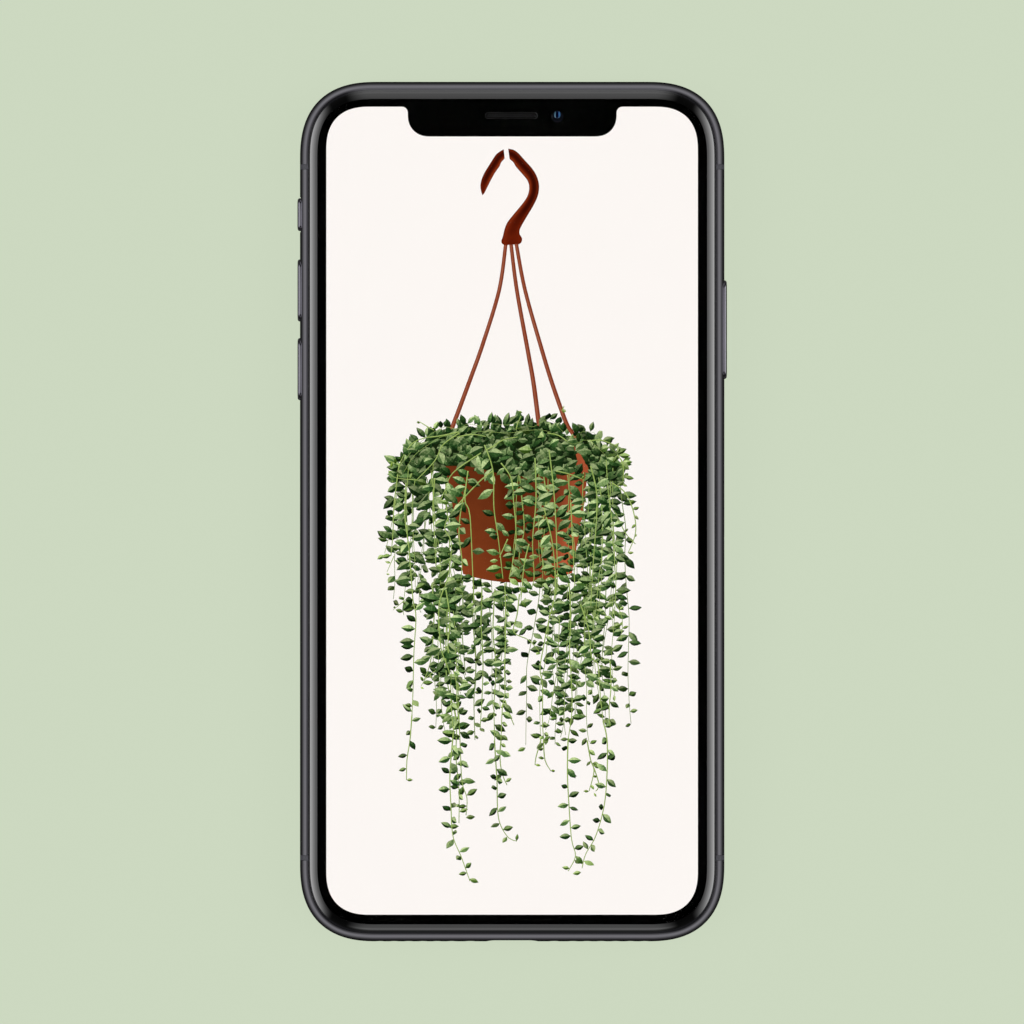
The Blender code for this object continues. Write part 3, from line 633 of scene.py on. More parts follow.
def sweep(name, points):
    """A ring with this section of insets and heights all round the phone."""
    rail = drawn("rail", outline(0))
    profile = drawn("section", [(-inset, -height) for inset, height in points])
    mesh = run_tree(rail, sweep_tree, section=profile, finish=finishes["graphite_steel"])
    mesh.materials.clear()
    discard(rail, profile)
    return piece_from(name, mesh)


def side_arc(inset):
    """Points on the rounded side, from an inset on the back over the middle to the front."""
    end = math.acos(1 - inset / EDGE_ROUND)
    return [(EDGE_ROUND * (1 - math.cos(t)), MIDDLE + MIDDLE * math.sin(t))
            for t in turns(-end, end, SECTION_STEPS)]


lip = surface_rise(BAND_LIP) - LIP_DROP
mirror_low = THICKNESS - REBATE_LOW
band_section = side_arc(BAND_LIP - LIP_ROUND) + [
    (BAND_LIP, MIDDLE + lip), (BAND_LIP, REBATE_LOW), (WALL_DEPTH, REBATE_LOW),
    (WALL_DEPTH, mirror_low), (BAND_LIP, mirror_low), (BAND_LIP, MIDDLE - lip)]
band = sweep("ring", band_section)
size = band.dimensions
print(f"The ring is {size.x / MM:.2f} x {size.y / MM:.2f} x {size.z / MM:.2f} mm")

# %% Part the ring at its breaks
BREAK_GAP = 0.00004


def keep_between(name, low_y, high_y, side=0):
    """A copy of the ring between two cuts across it, on one side only where one is given."""
    form = bmesh.new()
    form.from_mesh(band.data)
    planes = [((0, low_y, 0), (0, -1, 0)), ((0, high_y, 0), (0, 1, 0))]
    if side:
        planes.append(((0, 0, 0), (-side, 0, 0)))
    for point, outward in planes:
        whole = form.verts[:] + form.edges[:] + form.faces[:]
        cut = bmesh.ops.bisect_plane(form, geom=whole, plane_co=point, plane_no=outward, clear_outer=True)
        rim = [part for part in cut["geom_cut"] if isinstance(part, bmesh.types.BMEdge)]
        if rim:
            bmesh.ops.edgenet_fill(form, edges=rim)
    return piece_from(name, mesh_of(form, name))


SIDES = {"left": -1, "right": 1}
low_edge, high_edge = LOWER_BREAK_Y + BREAK_HALF, UPPER_BREAK_Y - BREAK_HALF
bands = {
    "top": keep_between("metal_band_top", UPPER_BREAK_Y + BREAK_HALF, HALF_LENGTH * 2),
    "bottom": keep_between("metal_band_bottom", -HALF_LENGTH * 2, LOWER_BREAK_Y - BREAK_HALF)}
for word, side in SIDES.items():
    bands[word] = keep_between(f"metal_band_{word}", low_edge, high_edge, side)
half = BREAK_HALF - BREAK_GAP
for height, at in (("upper", UPPER_BREAK_Y), ("lower", LOWER_BREAK_Y)):
    for word, side in SIDES.items():
        filling = keep_between(f"break_filling_{height}_{word}", at - half, at + half, side)
        settle(filling, "antenna_plastic", replaces=f"antenna_break_{height}_{word}")
discard(band)

# %% [markdown]
# ## Openings in the band
# The keys, the mute switch and the card tray come through slots with round ends. The bottom
# edge has the charging port between two screws, and six round vents on each side of it. The
# band's lip covers the end of the port's shell, so the opening is as wide as the plug. The
# vents repeat at one pitch, so their cutters are instances on a line of points. Each cutter
# flares at the surface, which leaves the small chamfer that a drilled hole has.

# %% Slots in the sides
KEY_CLEARANCE, KEY_RADIUS = 0.00012, 0.0013
VOLUME_HALF, VOLUME_UP_Y, VOLUME_DOWN_Y = 0.0052, 0.03695, 0.0238
SIDE_KEY_HALF, SIDE_KEY_Y = 0.00825, 0.0304
MUTE_Y, MUTE_HALF, MUTE_RADIUS, MUTE_TRAVEL = 0.0496, 0.00275, 0.0009, 0.0011
MUTE_SLOT_HALF = (0.00295, MUTE_RADIUS + MUTE_TRAVEL / 2 + HAIRLINE)
TRAY_Y, TRAY_FACE_HALF, TRAY_FACE_RADIUS = 0.0010, 0.0072, 0.00085
BEYOND = 0.02
SLOT_STEPS = 8


def cut_side(word, *shapes):
    """Cuts slots of these outlines, in Y and Z, through the left or right wall."""
    side = SIDES[word]
    ends = sorted((side * (HALF_WIDTH - BEYOND / 2), side * (HALF_WIDTH + BEYOND)))
    cutters = [prism("slot", [shape], *ends, axis=0) for shape in shapes]
    bands[word] = boolean(bands[word], "DIFFERENCE", *cutters)


def slot(y, half_length, radius, grow):
    return stadium((y, MIDDLE), half_length, radius, grow, SLOT_STEPS)


cut_side("left", *[slot(y, VOLUME_HALF, KEY_RADIUS, KEY_CLEARANCE) for y in (VOLUME_UP_Y, VOLUME_DOWN_Y)],
         round_box((MUTE_Y, MIDDLE), MUTE_SLOT_HALF, MUTE_RADIUS, SLOT_STEPS))
cut_side("right", slot(SIDE_KEY_Y, SIDE_KEY_HALF, KEY_RADIUS, KEY_CLEARANCE),
         slot(TRAY_Y, TRAY_FACE_HALF, TRAY_FACE_RADIUS, HAIRLINE))
print("Slots cut in both sides")

# %% Openings in the bottom edge
PORT_HALF, PORT_RADIUS, PORT_WALL, PORT_FLARE = 0.00447, 0.0016, 0.0003, 0.00008
PORT_Y = (-0.0714, -0.0640)
SCREW_X, SCREW_HEAD_RADIUS, SCREW_FLARE, SCREW_PLAY = 0.0070, 0.00078, 0.00006, 0.00008
VENT_RADIUS, VENT_PITCH, VENT_FIRST_X, VENT_COUNT = 0.0007, 0.0024, 0.0101, 6
VENT_FLARE, SCREW_SEAT_DEPTH = 0.00012, 0.0010
HOLE_STEPS, OUTSIDE = 32, 0.002
EDGE, SURFACE = -HALF_LENGTH, -HALF_LENGTH + 0.00005

hole_tree, (_, count, pitch, hole, finish) = new_tree(
    "holes on a line", Count="Int", Pitch="Float", Hole="Object")
line = hole_tree.geo("MeshLine", {"Count": count, "Offset": hole_tree.vector(pitch)})
hole = hole_tree.geo("ObjectInfo", {0: hole}, "Geometry")
hole_tree.end(hole_tree.geo("InstanceOnPoints", {0: line, "Instance": hole}), finish)


def flared_hole(name, shape_at, out_y, in_y, flare):
    """A cutter that enters from the bottom edge and flares where it meets the surface."""
    levels = ((out_y - OUTSIDE, flare), (out_y, flare), (out_y + flare, 0.0), (in_y, 0.0))
    return stack(name, shape_at, levels, 1)


def row_of_vents(side):
    """Six vent cutters from one, on one side of the port."""
    one = flared_hole("one vent", lambda grow: circle((0, MIDDLE), VENT_RADIUS + grow, HOLE_STEPS),
                      SURFACE, EDGE + BEYOND / 3, VENT_FLARE)
    first = VENT_FIRST_X if side > 0 else -VENT_FIRST_X - VENT_PITCH * (VENT_COUNT - 1)
    mesh = run_alone(hole_tree, (first, 0, 0), count=VENT_COUNT, pitch=VENT_PITCH, hole=one,
                     finish=finishes["graphite_steel"])
    discard(one)
    return piece_from("vents", mesh)


def port_shape(grow):
    return stadium((0, MIDDLE), PORT_HALF, PORT_RADIUS, grow)


seat_ends = (PORT_Y[0] - HAIRLINE, EDGE + BEYOND / 2)
cutters = [flared_hole("mouth", lambda grow: port_shape(HAIRLINE - PORT_WALL + grow),
                       EDGE + HAIRLINE, PORT_Y[0], PORT_FLARE),
           stack("port seat", port_shape, [(y, HAIRLINE) for y in seat_ends], 1)]
for side in SIDES.values():
    cutters.append(row_of_vents(side))
    at = (side * SCREW_X, MIDDLE)
    cutters.append(flared_hole(
        "screw seat", lambda grow: circle(at, SCREW_HEAD_RADIUS + SCREW_PLAY + grow, HOLE_STEPS),
        SURFACE, EDGE + SCREW_SEAT_DEPTH, SCREW_FLARE))
bands["bottom"] = boolean(bands["bottom"], "DIFFERENCE", *cutters)
for word, obj in bands.items():
    settle(obj, "graphite_steel", replaces=f"band_{word}")

# %% [markdown]
# ## Gaskets
# A thin dark line parts the metal from the glass. It is a soft gasket that fills the gap to
# just under the surface, swept round the phone like the band.

# %% Gaskets, front and back
GASKET_PLAY, GASKET_FOOT, GASKET_SUNK = 0.00001, 0.00002, 0.00003
GASKET_INSETS = (BAND_LIP + GASKET_PLAY, GLASS_INSET - GASKET_PLAY)

for word, side in (("front", 1), ("back", -1)):
    top = [(inset, MIDDLE + side * (surface_rise(inset) - GASKET_SUNK)) for inset in GASKET_INSETS]
    foot = MIDDLE + side * (REBATE_LOW - MIDDLE + GASKET_FOOT)
    gasket = sweep(f"gasket_{word}", [*top, (GASKET_INSETS[1], foot), (GASKET_INSETS[0], foot)])
    settle(gasket, "antenna_plastic", finish="gasket_rubber")

# %% [markdown]
# ## Glass
# Both glasses are flat plates with a rim that carries the side's ellipse on to the face.
# The rim is a loft of insets of the outline. Two more rings just inside it lie flat, so
# that smooth shading doesn't spread the rim's curve over the whole face. The front glass
# has the earpiece's slot, and the back glass the opening for the cameras. The front rim is
# printed black underneath, so it is a black surface that mirrors the studio, and only the
# flat face is clear.

# %% Front and back glass
RIM_STEPS, RIM_FLATS = 14, (0.00006, 0.0002)
CLEAR_TILT = 0.9999
EARPIECE = ((-0.00015, 0.06606), 0.00438, 0.00055)
CAMERA_X, CAMERA_Y, CAMERA_APART = 0.0225, 0.05275, 0.0146
WINDOW_HALF_LENGTH, TRIM_RADIUS, TRIM_WALL = 0.0135, 0.0062, 0.0005
EARPIECE_EASE, CAMERA_EASE = 0.00004, 0.00008
WINDOW_STEPS, EARPIECE_STEPS = 24, 10


def camera_window(grow):
    """The rear window's upright outline, grown from the rim's own."""
    radius = TRIM_RADIUS + grow
    return round_box((CAMERA_X, CAMERA_Y), (radius, WINDOW_HALF_LENGTH + grow), radius, WINDOW_STEPS)


def earpiece_slot(grow):
    return stadium(*EARPIECE, grow, EARPIECE_STEPS)


def make_glass(name, side, hole, hole_ease):
    """A plate on the front (side 1) or back (side -1), with its curved rim and an eased hole."""
    inner, outer = MIDDLE + side * (GLASS_LOW - MIDDLE), MIDDLE + side * MIDDLE
    start = math.acos(1 - GLASS_INSET / EDGE_ROUND)
    levels = [(inner, GLASS_INSET)]
    for turn in turns(start, QUARTER, RIM_STEPS):
        levels.append((MIDDLE + side * MIDDLE * math.sin(turn), EDGE_ROUND * (1 - math.cos(turn))))
    levels += [(outer, EDGE_ROUND + flat) for flat in RIM_FLATS]
    wall = ((inner, 0.0), (outer - side * hole_ease, 0.0), (outer, hole_ease))
    return joined(name, stack("rim", outline, levels, ends=False), stack("wall", hole, wall, ends=False),
                  prism("low", [outline(GLASS_INSET), hole(0.0)], inner, inner),
                  prism("high", [outline(levels[-1][1]), hole(hole_ease)], outer, outer))


glass = make_glass("glass_front", 1, earpiece_slot, EARPIECE_EASE)
for finish in ("front_glass", "printed_rim"):
    glass.data.materials.append(finishes[finish])
for face in glass.data.polygons:
    face.material_index = 1 if abs(face.normal.z) < CLEAR_TILT else 0
settle(glass, "front_glass", replaces="cover_glass")
glass = make_glass("glass_back", -1, lambda grow: camera_window(HAIRLINE + grow), CAMERA_EASE)
settle(glass, "rear_glass", replaces="back_glass")

# %% [markdown]
# ## The black print under the glass
# The black border of a screen is ink on the underside of the glass. Its opening is the
# window that the picture shows through, with the notch for the camera and the earpiece, and
# a small clear circle over the camera. Drawn as a thin plate with holes, it hides the
# panel's edges from above, as the real print does.

# %% Black print
WINDOW_HALF, WINDOW_CORNER = (0.0310, 0.06741), 0.0074
WINDOW_CENTRE = (-0.00002, 0.00015)
NOTCH_HALF, NOTCH_BOTTOM, NOTCH_STEPS = 0.01742, 0.06259, 14
NOTCH_CORNER, NOTCH_POWER, NOTCH_FILLET = 0.0036, 2.2, 0.0010
PRINT_Z, PRINT_INSET = (0.00684, 0.006885), 0.0018
FRONT_CAMERA, CAMERA_HOLE = (0.00756, 0.0659), 0.0010


def notched_window():
    """The screen's window, counter-clockwise from the right side, with the notch in its top edge."""
    window = outline(0, WINDOW_HALF, WINDOW_CORNER)
    points = [(x + WINDOW_CENTRE[0], y + WINDOW_CENTRE[1]) for x, y in window]
    top = WINDOW_HALF[1] + WINDOW_CENTRE[1]
    notch = []
    for t in turns(QUARTER, math.pi, NOTCH_STEPS):
        notch.append((NOTCH_HALF + NOTCH_FILLET * (1 + math.cos(t)), top - NOTCH_FILLET * (1 - math.sin(t))))
    for t in turns(0, QUARTER, NOTCH_STEPS):
        cos, sin = (max(part, 0.0) ** (2 / NOTCH_POWER) for part in (math.cos(t), math.sin(t)))
        notch.append((NOTCH_HALF - NOTCH_CORNER * (1 - cos), NOTCH_BOTTOM + NOTCH_CORNER * (1 - sin)))
    notch += [(-x, y) for x, y in reversed(notch)]
    quarter = CORNER_STEPS + 1
    return points[:quarter] + notch + points[quarter:]


holes = [notched_window(), circle(FRONT_CAMERA, CAMERA_HOLE), stadium(*EARPIECE, steps=8)]
black_print = prism("black_print", [outline(PRINT_INSET), *holes], *PRINT_Z)
settle(black_print, "front_glass", finish="black_print")

# %% [markdown]
# ## The screen's light
# A screen is a surface that glows. The panel's finish is black with a cream glow on its
# front face only, a little brighter than the picture should look, because the glass above
# takes some of the light. Every part of the picture glows in its own colours in the same way.

# %% Panel finish
GLASS_LOSS, CREAM = 1.085, (252, 247, 243)
CREAM_GRAIN, CREAM_SPREAD = 0.008, (0.995, 1.005)


def srgb(red, green, blue, gain=1.0):
    """A screen colour of 0 to 255 as the linear colour that Blender works in."""
    linear = [((c / 255 + 0.055) / 1.055) ** 2.4 if c > 10 else c / 255 / 12.92 for c in (red, green, blue)]
    return [c * gain for c in linear] + [1.0]


def glowing(name, paint):
    """A black finish that only glows, in the colour that a function paints with its tree."""
    material, tree, sockets = new_material(
        name, Base_Color=(0.0, 0.0, 0.0, 1), Specular_IOR_Level=0.0, Roughness=0.9,
        Emission_Strength=GLASS_LOSS)
    tree.give(sockets["Emission Color"], paint(tree))
    return material


def painted_ramp(tree, factor, *stops):
    """A ramp through screen colours at their places."""
    return tree.ramp(factor, [(at, srgb(*colour)) for at, colour in stops])


def stored(tree, name):
    """A named value that a mesh carries."""
    return tree.add("ShaderNodeAttribute", out="Fac", attribute_name=name)


def cream_front(tree):
    facing = tree.parts(tree.add("ShaderNodeNewGeometry", out="Normal"))[2]
    cream = tree.mix(tree.noise(CREAM_GRAIN), *[srgb(*CREAM, gain) for gain in CREAM_SPREAD])
    return tree.mix(facing.maths("GREATER_THAN", 0.5), (0, 0, 0, 1), cream)


finishes["screen"] = glowing("screen", cream_front)
panel = frame["nodes"]["display_panel"].data.materials
panel.clear()
panel.append(finishes["screen"])

# %% [markdown]
# ## The picture: a hanging pot with a trailing succulent
# The picture is drawn with the plant's own habits, not copied as an image. Thin stems hang
# over a terracotta pot and carry pointed leaves at an even pitch. A small grid serves as the
# drawing's ruler: one step is 0.167 mm, x runs right and y down from the frame's corner.
# A route is a few places on that grid, and a spline through them gives the stem.

# %% The drawing's grid
GRID, GRID_MIDDLE, GRID_RISE = PIXEL, (512.2, 511.6), 4.0


def on_grid(x, y, z=0.0):
    return Vector(((x - GRID_MIDDLE[0]) * GRID, (GRID_MIDDLE[1] - y) * GRID, z))


def places(route):
    """The places of a route that is written as x,y pairs."""
    return [tuple(float(value) for value in pair.split(",")) for pair in route.split()]


def catmull_rom(a, b, c, d, t):
    """The spline between b and c, where a comes before them and d after."""
    return 0.5 * (2 * b + (c - a) * t + (2 * a - 5 * b + 4 * c - d) * t ** 2
                  + (3 * b - a - 3 * c + d) * t ** 3)


def smooth_route(points):
    """A Catmull-Rom spline through the places, with a point about every few grid steps."""
    ends = [points[0], *points, points[-1]]
    line = []
    for four in zip(ends, ends[1:], ends[2:], ends[3:]):
        count = max(1, round(math.dist(four[1], four[2]) / GRID_RISE))
        for i in range(count):
            line.append(tuple(catmull_rom(*values, i / count) for values in zip(*four)))
    return line + [points[-1]]


def flat_piece(name, mesh, material):
    """A piece of the picture: nothing is merged, because its layers lie very close."""
    mesh.name = name
    mesh.materials.clear()
    mesh.materials.append(material)
    settle(linked(name, mesh), "screen")


def carrying(vertices, edges, faces, **values):
    """A mesh whose points carry named values."""
    mesh = bpy.data.meshes.new("carrying")
    mesh.from_pydata(vertices, edges, faces)
    for name, numbers in values.items():
        mesh.attributes.new(name, "FLOAT", "POINT").data.foreach_set("value", numbers)
    return mesh


# %% [markdown]
# ## Leaves and stems on routes
# One tree does every stem. The routes come in as lines whose points carry the leaf size,
# youth and depth. Curve to Points sets an even pitch, and each point gets a leaf that leans
# out to one side, rolls and tilts by seeded amounts. The leaves are solid little forms at
# that stage, so their own normals give the light on them. Then the drawing is pressed flat,
# each leaf at its own height, so that front leaves cover those behind.

# %% One leaf
LEAF_HALF, LEAF_THICK, LEAF_SIDES = 0.275, 0.155, 4
LEAF_WIDTHS = {0.07: 0.40, 0.24: 0.86, 0.47: 1.0, 0.72: 0.68, 0.90: 0.25}
STALK = 0.10


def make_leaf():
    """An almond leaf of length 1 along X, keeled like a roof, with a short stalk and a sharp tip."""
    form = bmesh.new()
    rings = []
    for at, wide in LEAF_WIDTHS.items():
        around = [(LEAF_HALF * wide * math.cos(t), LEAF_THICK * wide * math.sin(t))
                  for t in turns(0, math.tau, LEAF_SIDES)[:-1]]
        rings.append([form.verts.new(point) for point in ring(around, STALK + at, 0)])
    skin(form, rings)
    base, tip = form.verts.new((0, 0, 0)), form.verts.new((STALK + 1, 0, 0))
    for j in range(LEAF_SIDES):
        form.faces.new((base, rings[0][j], rings[0][j - 1]))
        form.faces.new((tip, rings[-1][j - 1], rings[-1][j]))
    bmesh.ops.recalc_face_normals(form, faces=form.faces)
    mesh = mesh_of(form, "leaf")
    mesh.shade_smooth()
    return mesh


leaf = bpy.data.objects.new("leaf", make_leaf())
print(f"A leaf has {sum(len(f.vertices) - 2 for f in leaf.data.polygons)} triangles")

# %% Helpers for fields
LIGHT_FROM = Vector((-0.30, 0.72, 0.62)).normalized()
LIT, TURNED_AWAY = (-0.6, 1.0), (0.75, 0.05)
PRESS = 0.003


class Fields(Tree):
    """A tree whose nodes work with seeded chance and named values on the points."""

    def named(self, name):
        """A named value as a field."""
        return self.geo("InputNamedAttribute", {0: name}, data_type="FLOAT")

    def dice(self, low, high, offset):
        """A seeded random number between two values, different for each offset."""
        own = self.seed + float(offset)
        return self.add("FunctionNodeRandomValue", {2: low, 3: high, "Seed": own}, 1, data_type="FLOAT")

    def keep(self, geometry, domain="POINT", **values):
        """Stores fields under their names."""
        for name, value in values.items():
            inputs = {0: geometry, 2: name}
            geometry = self.geo("StoreNamedAttribute", inputs, data_type="FLOAT", domain=domain)
            sockets = geometry.socket.node.inputs
            self.give(next(s for s in sockets if s.name == "Value" and s.enabled), value)
        return geometry

    def leaves(self, points, form, turn, size):
        """A leaf on each point."""
        shape = self.geo("ObjectInfo", {0: form}, "Geometry")
        inputs = {0: points, "Instance": shape, "Rotation": self.vector(*turn), "Scale": size}
        return self.geo("InstanceOnPoints", inputs)

    def light_and_press(self, geometry, finish, domain="FACE"):
        """Stores the painted light on each face and the painted shade where a face turns away, and presses
        the drawing flat at its lifts.
        """
        real = self.geo("RealizeInstances", {0: geometry})
        normal = self.geo("InputNormal")
        lit = self.add("ShaderNodeVectorMath", {0: normal, 1: LIGHT_FROM}, "Value", operation="DOT_PRODUCT")
        real = self.keep(real, domain, light=self.between(lit, *LIT),
                         edge=self.between(self.parts(normal)[2], *TURNED_AWAY))
        x, y, z = self.parts(self.geo("InputPosition"))
        flat = self.vector(x, y, z.maths("MULTIPLY_ADD", PRESS, self.named("lift")))
        self.end(self.geo("SetPosition", {0: real, 2: flat}), finish)


# %% The tree for leaves
LEAF_ROLL, LEAF_TILT, LEAF_OUT, LEAF_SPREAD = (-0.6, 0.7), (-1.15, 0.5), (0.6, 2.2), (0.95, 1.4)

tree, (lines, form, pitch, low, high, seed, finish) = new_tree(
    "leaves on stems", Fields, Leaf="Object", Pitch="Float", Low="Float", High="Float", Seed="Int")
leaf_tree = tree
tree.seed = seed
named, dice = tree.named, tree.dice
curve = tree.geo("MeshToCurve", {0: lines})
points, tangent = tree.geo("CurveToPoints", {0: curve, "Length": pitch}, mode="LENGTH").all()[:2]
ahead = tree.parts(tangent)
points = tree.keep(
    points, chance=dice(0.0, 1.0, 1), heading=ahead[1].maths("ARCTAN2", ahead[0]),
    way=tree.geo("InputIndex").maths("MODULO", 2.0).maths("MULTIPLY_ADD", 2.0, -1.0))
gap = tree.add("FunctionNodeCompare", {0: named("chance"), 1: named("full")}, operation="GREATER_THAN")
slide = pitch * dice(-0.5, 0.5, 2)
shift = tree.add("ShaderNodeVectorMath", {0: tangent, "Scale": slide}, operation="SCALE")
points = tree.geo("SetPosition", {0: points, 3: shift})
points = tree.geo("DeleteGeometry", {0: points, 1: gap})
lean = named("lean")
leans = dice(0.0, 1.0, 3).maths("LESS_THAN", lean.maths("ABSOLUTE"))
side = leans * lean.maths("SIGN") + (1.0 - leans) * named("way")
turn = (dice(*LEAF_ROLL, 5), dice(*LEAF_TILT, 6), named("heading") + side * dice(*LEAF_OUT, 4))
leaves = tree.leaves(points, form, turn, named("size") * dice(*LEAF_SPREAD, 7))
leaves = tree.keep(leaves, "INSTANCE", tone=dice(0.0, 1.0, 8), lift=dice(low, high, 9))
tree.light_and_press(leaves, finish)

# %% The tree for stems
TUBE_SIDES = 6
tree, (lines, radius, level, finish) = new_tree("stems", Fields, Radius="Float", Level="Float")
stem_tree = tree
curve = tree.geo("MeshToCurve", {0: lines})
thick = tree.named("stem") * radius
around = tree.geo("CurvePrimitiveCircle", {"Resolution": TUBE_SIDES, "Radius": 1.0}, mode="RADIUS")
tube = tree.geo("CurveToMesh", {0: curve, 1: around, "Scale": thick, "Fill Caps": True})
tree.light_and_press(tree.keep(tube, lift=level), finish, "POINT")

# %% [markdown]
# ## Leaf colours
# A leaf is dark green with a painted highlight where the light falls on it, and painted dark
# shade round it where it turns away. Young leaves are yellow-green, and leaves at the back
# sink into painted shade. All of it comes from the values that the trees stored.

# %% Leaf and stem finishes
DEEP_SHADE = (9, 24, 7)
LEAF_GRAIN, STEM_GRAIN = (0.0003, 0.3), (0.0012, 0.5)
EDGE_SHADE, TONE_RANGE = 0.25, (0.55, 1.45)


def grainy_light(tree, size, grain):
    """The stored light with a fine noise on it."""
    return tree.noise(size).maths("MULTIPLY_ADD", grain, stored(tree, "light") - grain / 2)


def times(tree, colour, factor):
    return tree.mix(1.0, colour, tree.vector(factor, factor, factor), "MULTIPLY")


def leaf_green(tree):
    light = grainy_light(tree, *LEAF_GRAIN)
    grown = painted_ramp(tree, light, (0.2, DEEP_SHADE), (0.45, (24, 50, 19)), (0.62, (47, 79, 37)),
                         (0.78, (88, 117, 66)), (0.9, (142, 164, 108)), (1.0, (182, 200, 140)))
    fresh = painted_ramp(tree, light, (0.2, (44, 66, 10)), (0.6, (98, 128, 38)), (0.85, (152, 180, 84)),
                         (1.0, (200, 216, 138)))
    green = tree.mix(stored(tree, "young"), grown, fresh)
    # Faces that turn away from the viewer are mixed toward the deep shade colour, as painted shade.
    green = tree.mix(stored(tree, "edge") * EDGE_SHADE, green, srgb(*DEEP_SHADE))
    green = times(tree, green, tree.between(stored(tree, "tone"), 0.0, 1.0, *TONE_RANGE))
    # Leaves at the back are mixed toward a painted shade colour, darker or lighter by their tone.
    dusk = tree.mix(stored(tree, "tone"), srgb(4, 12, 3), srgb(44, 68, 34))
    return tree.mix(1.0 - stored(tree, "depth"), green, dusk)


def stem_green(tree):
    light = grainy_light(tree, *STEM_GRAIN)
    pale = painted_ramp(tree, light, (0.0, (82, 104, 40)), (0.5, (132, 158, 76)), (1.0, (178, 200, 118)))
    # Stems at the back are mixed toward a painted shade colour.
    return tree.mix(1.0 - stored(tree, "depth"), pale, srgb(34, 56, 28))


leaf_finish, stem_finish = glowing("leaf green", leaf_green), glowing("stem green", stem_green)

# %% [markdown]
# ## Where the stems hang
# Each line of a layer is one stem: the leaf length in grid steps at its start and end, how
# much its leaves keep to one side (minus is left), how full it is, and its route. The long
# stems that give the picture its outline are listed one by one. The thick curtains at both
# sides are filled with stems by seeded draws.

# %% Stems listed one by one
STEMS = {"front": """
13 9 -0.75 0.95 406,483 405,516 409,549 413,599 416,617 414,652 413,692 412,715
9 7.5 -0.1 0.9 412,715 410,740 407,760 406.5,780
12 11 -0.5 0.9 399,466 394,506 393,533 391,556
12 11 -0.4 0.8 434.7,478 433,510 434.7,538 436,566
12 12 0.2 0.5 459.6,433 443,445 434.7,461 415.7,481
12 12 0.1 0.9 481,453 453,473 444.7,491 440,502
12 13 0.0 0.95 493,471 478,483 453,511 444.7,528 451,541 450,566 444.7,588
15 12 -0.2 1.0 444,588 439,606 439.7,635 442,652 450,675 451,703 453.5,732
12 9 0.3 1.0 446,590 450,620 448,650 456,680 457,703 460,735
12 9 -0.1 1.0 453.5,732 450,773 451,806 453,836 461,856 470,881
11 10 -0.2 0.6 468,471 465,500 470,516 473,579 474,600
13 12 -0.9 0.85 484.5,445 493,471 494,508 498.6,541 503,579
11 11 0.2 0.85 501,463 511,478 513.5,500 516,541 509,579
12 11 -0.2 0.95 535,458 536,500 532.6,541 534,579 529,592
12 11 0.1 0.8 549,450 553,483 556,524 557.4,579 556,594
11 10 -0.3 0.9 544,508 552,541 556,579
11 11 0.2 0.6 570.7,503 573,549 575,590
11 10 -0.2 0.8 529,544 524,566 521,599
9 9 0.0 0.7 507.7,539 499.4,557.5
10.5 9 0.4 0.95 505,583 505.7,629 504.6,669 505,692 502.3,709 501,740
12 9 -0.1 0.8 519.5,594 517,615 513.8,632 528.7,640 539,651
11 8 0.0 0.9 555,571 555,594 548,624 542.5,652 540,669 542.5,686 542.5,721 543.6,740
12 9 0.1 1.0 569,583 570.6,617 569.5,652 571,675 572,709 568,740
9.5 8 0.1 1.0 568,740 567.4,773 569,806 571.5,839 575.4,856 568,871
12 9 0.2 0.9 580.4,604 588.4,629 591.8,658 597.6,663 600,692 603,721
10.5 9 0.1 1.0 603,721 607,740 607,773 604,806 595.6,836 585.6,854 582,868
10 8 0.2 0.8 610,661 611,686 609,709 610,726.5
12 11 0.2 0.9 590.6,466 597,500 593,566 590.7,606
6 5 0.1 0.65 612,483 625.4,493 633.7,513 635.4,533 628,553
8 7 0.0 0.5 556,471 569,474 582,479
12 11 -0.6 0.8 466,487 461,510 459,535 462,560 461,580
9 8 0.0 0.6 459,432 440,436 425,438 413,443 404,455 398,468
9 8 0.1 0.5 458,437 472,434.5 486,436.5
10 9 0.0 0.5 486,450 494,446 503,440 517.6,437
10 9 0.1 0.5 547.5,433 559,435.7 567.4,441.5
6 5 0.0 1.0 516,430 517.6,424 521,416
7 6 0.0 1.0 434,430 428,427 420,422
6 5 0.0 1.0 400,466 396,463.5 388,461
9 8 -0.5 1.0 590,441 600,440 612,444 621,448
8 7 0.8 1.0 617,455 623,464 623,482
5 4.5 0.0 1.0 562,411 564,406""", "middle": """
12 9.5 0.0 1.0 448,600 446,640 447,680 456,720 456,757 459,790 459,823
11 9.5 0.2 1.0 455,640 458,690 460,740 462,781 467,798 466,815
13 10 -0.4 1.0 432,585 434,610 433,640 430,664 424,680
12 10 0.0 0.95 519,470 522,500 524,530 519,560 524,590
12 10 0.1 0.9 543,472 546,500 541,540 545,575
11 9 0.1 1.0 482,589 481,620 483,660 482,698 480,730
11 9.5 0.2 1.0 495,589 493,630 496,668 494,705 494.8,740
10.5 8.5 0.1 1.0 494.4,740 496,765 497,781 497.7,811 501,826 509,838 517,841
9.5 7 0.0 1.0 501,740 500,757 502,773 507,785
6 5 0.1 0.6 505,700 510,715 514,725
7 5 0.0 0.8 540.9,740 536,757 535,765
7 5 0.0 0.8 543.4,740 545,760 551,771
7 5 0.0 0.85 587,740 590.6,760 594,771 589,791
6 5 0.0 0.7 594,768 599,785 595.6,791
6 5 -0.1 0.5 600.6,488 615.5,513 625.4,533 635.4,544
12 11 0.0 0.9 447,478 446,505 450,530 449,560 454,588""", "back": """
9.5 8 0.1 1.0 456,588 455.8,612 457,640
9.5 8 0.0 1.0 462,583 463,606 462,629 465.5,675
10.5 9 -0.2 1.0 474,577 473,620 476,660 474,700 475,740"""}
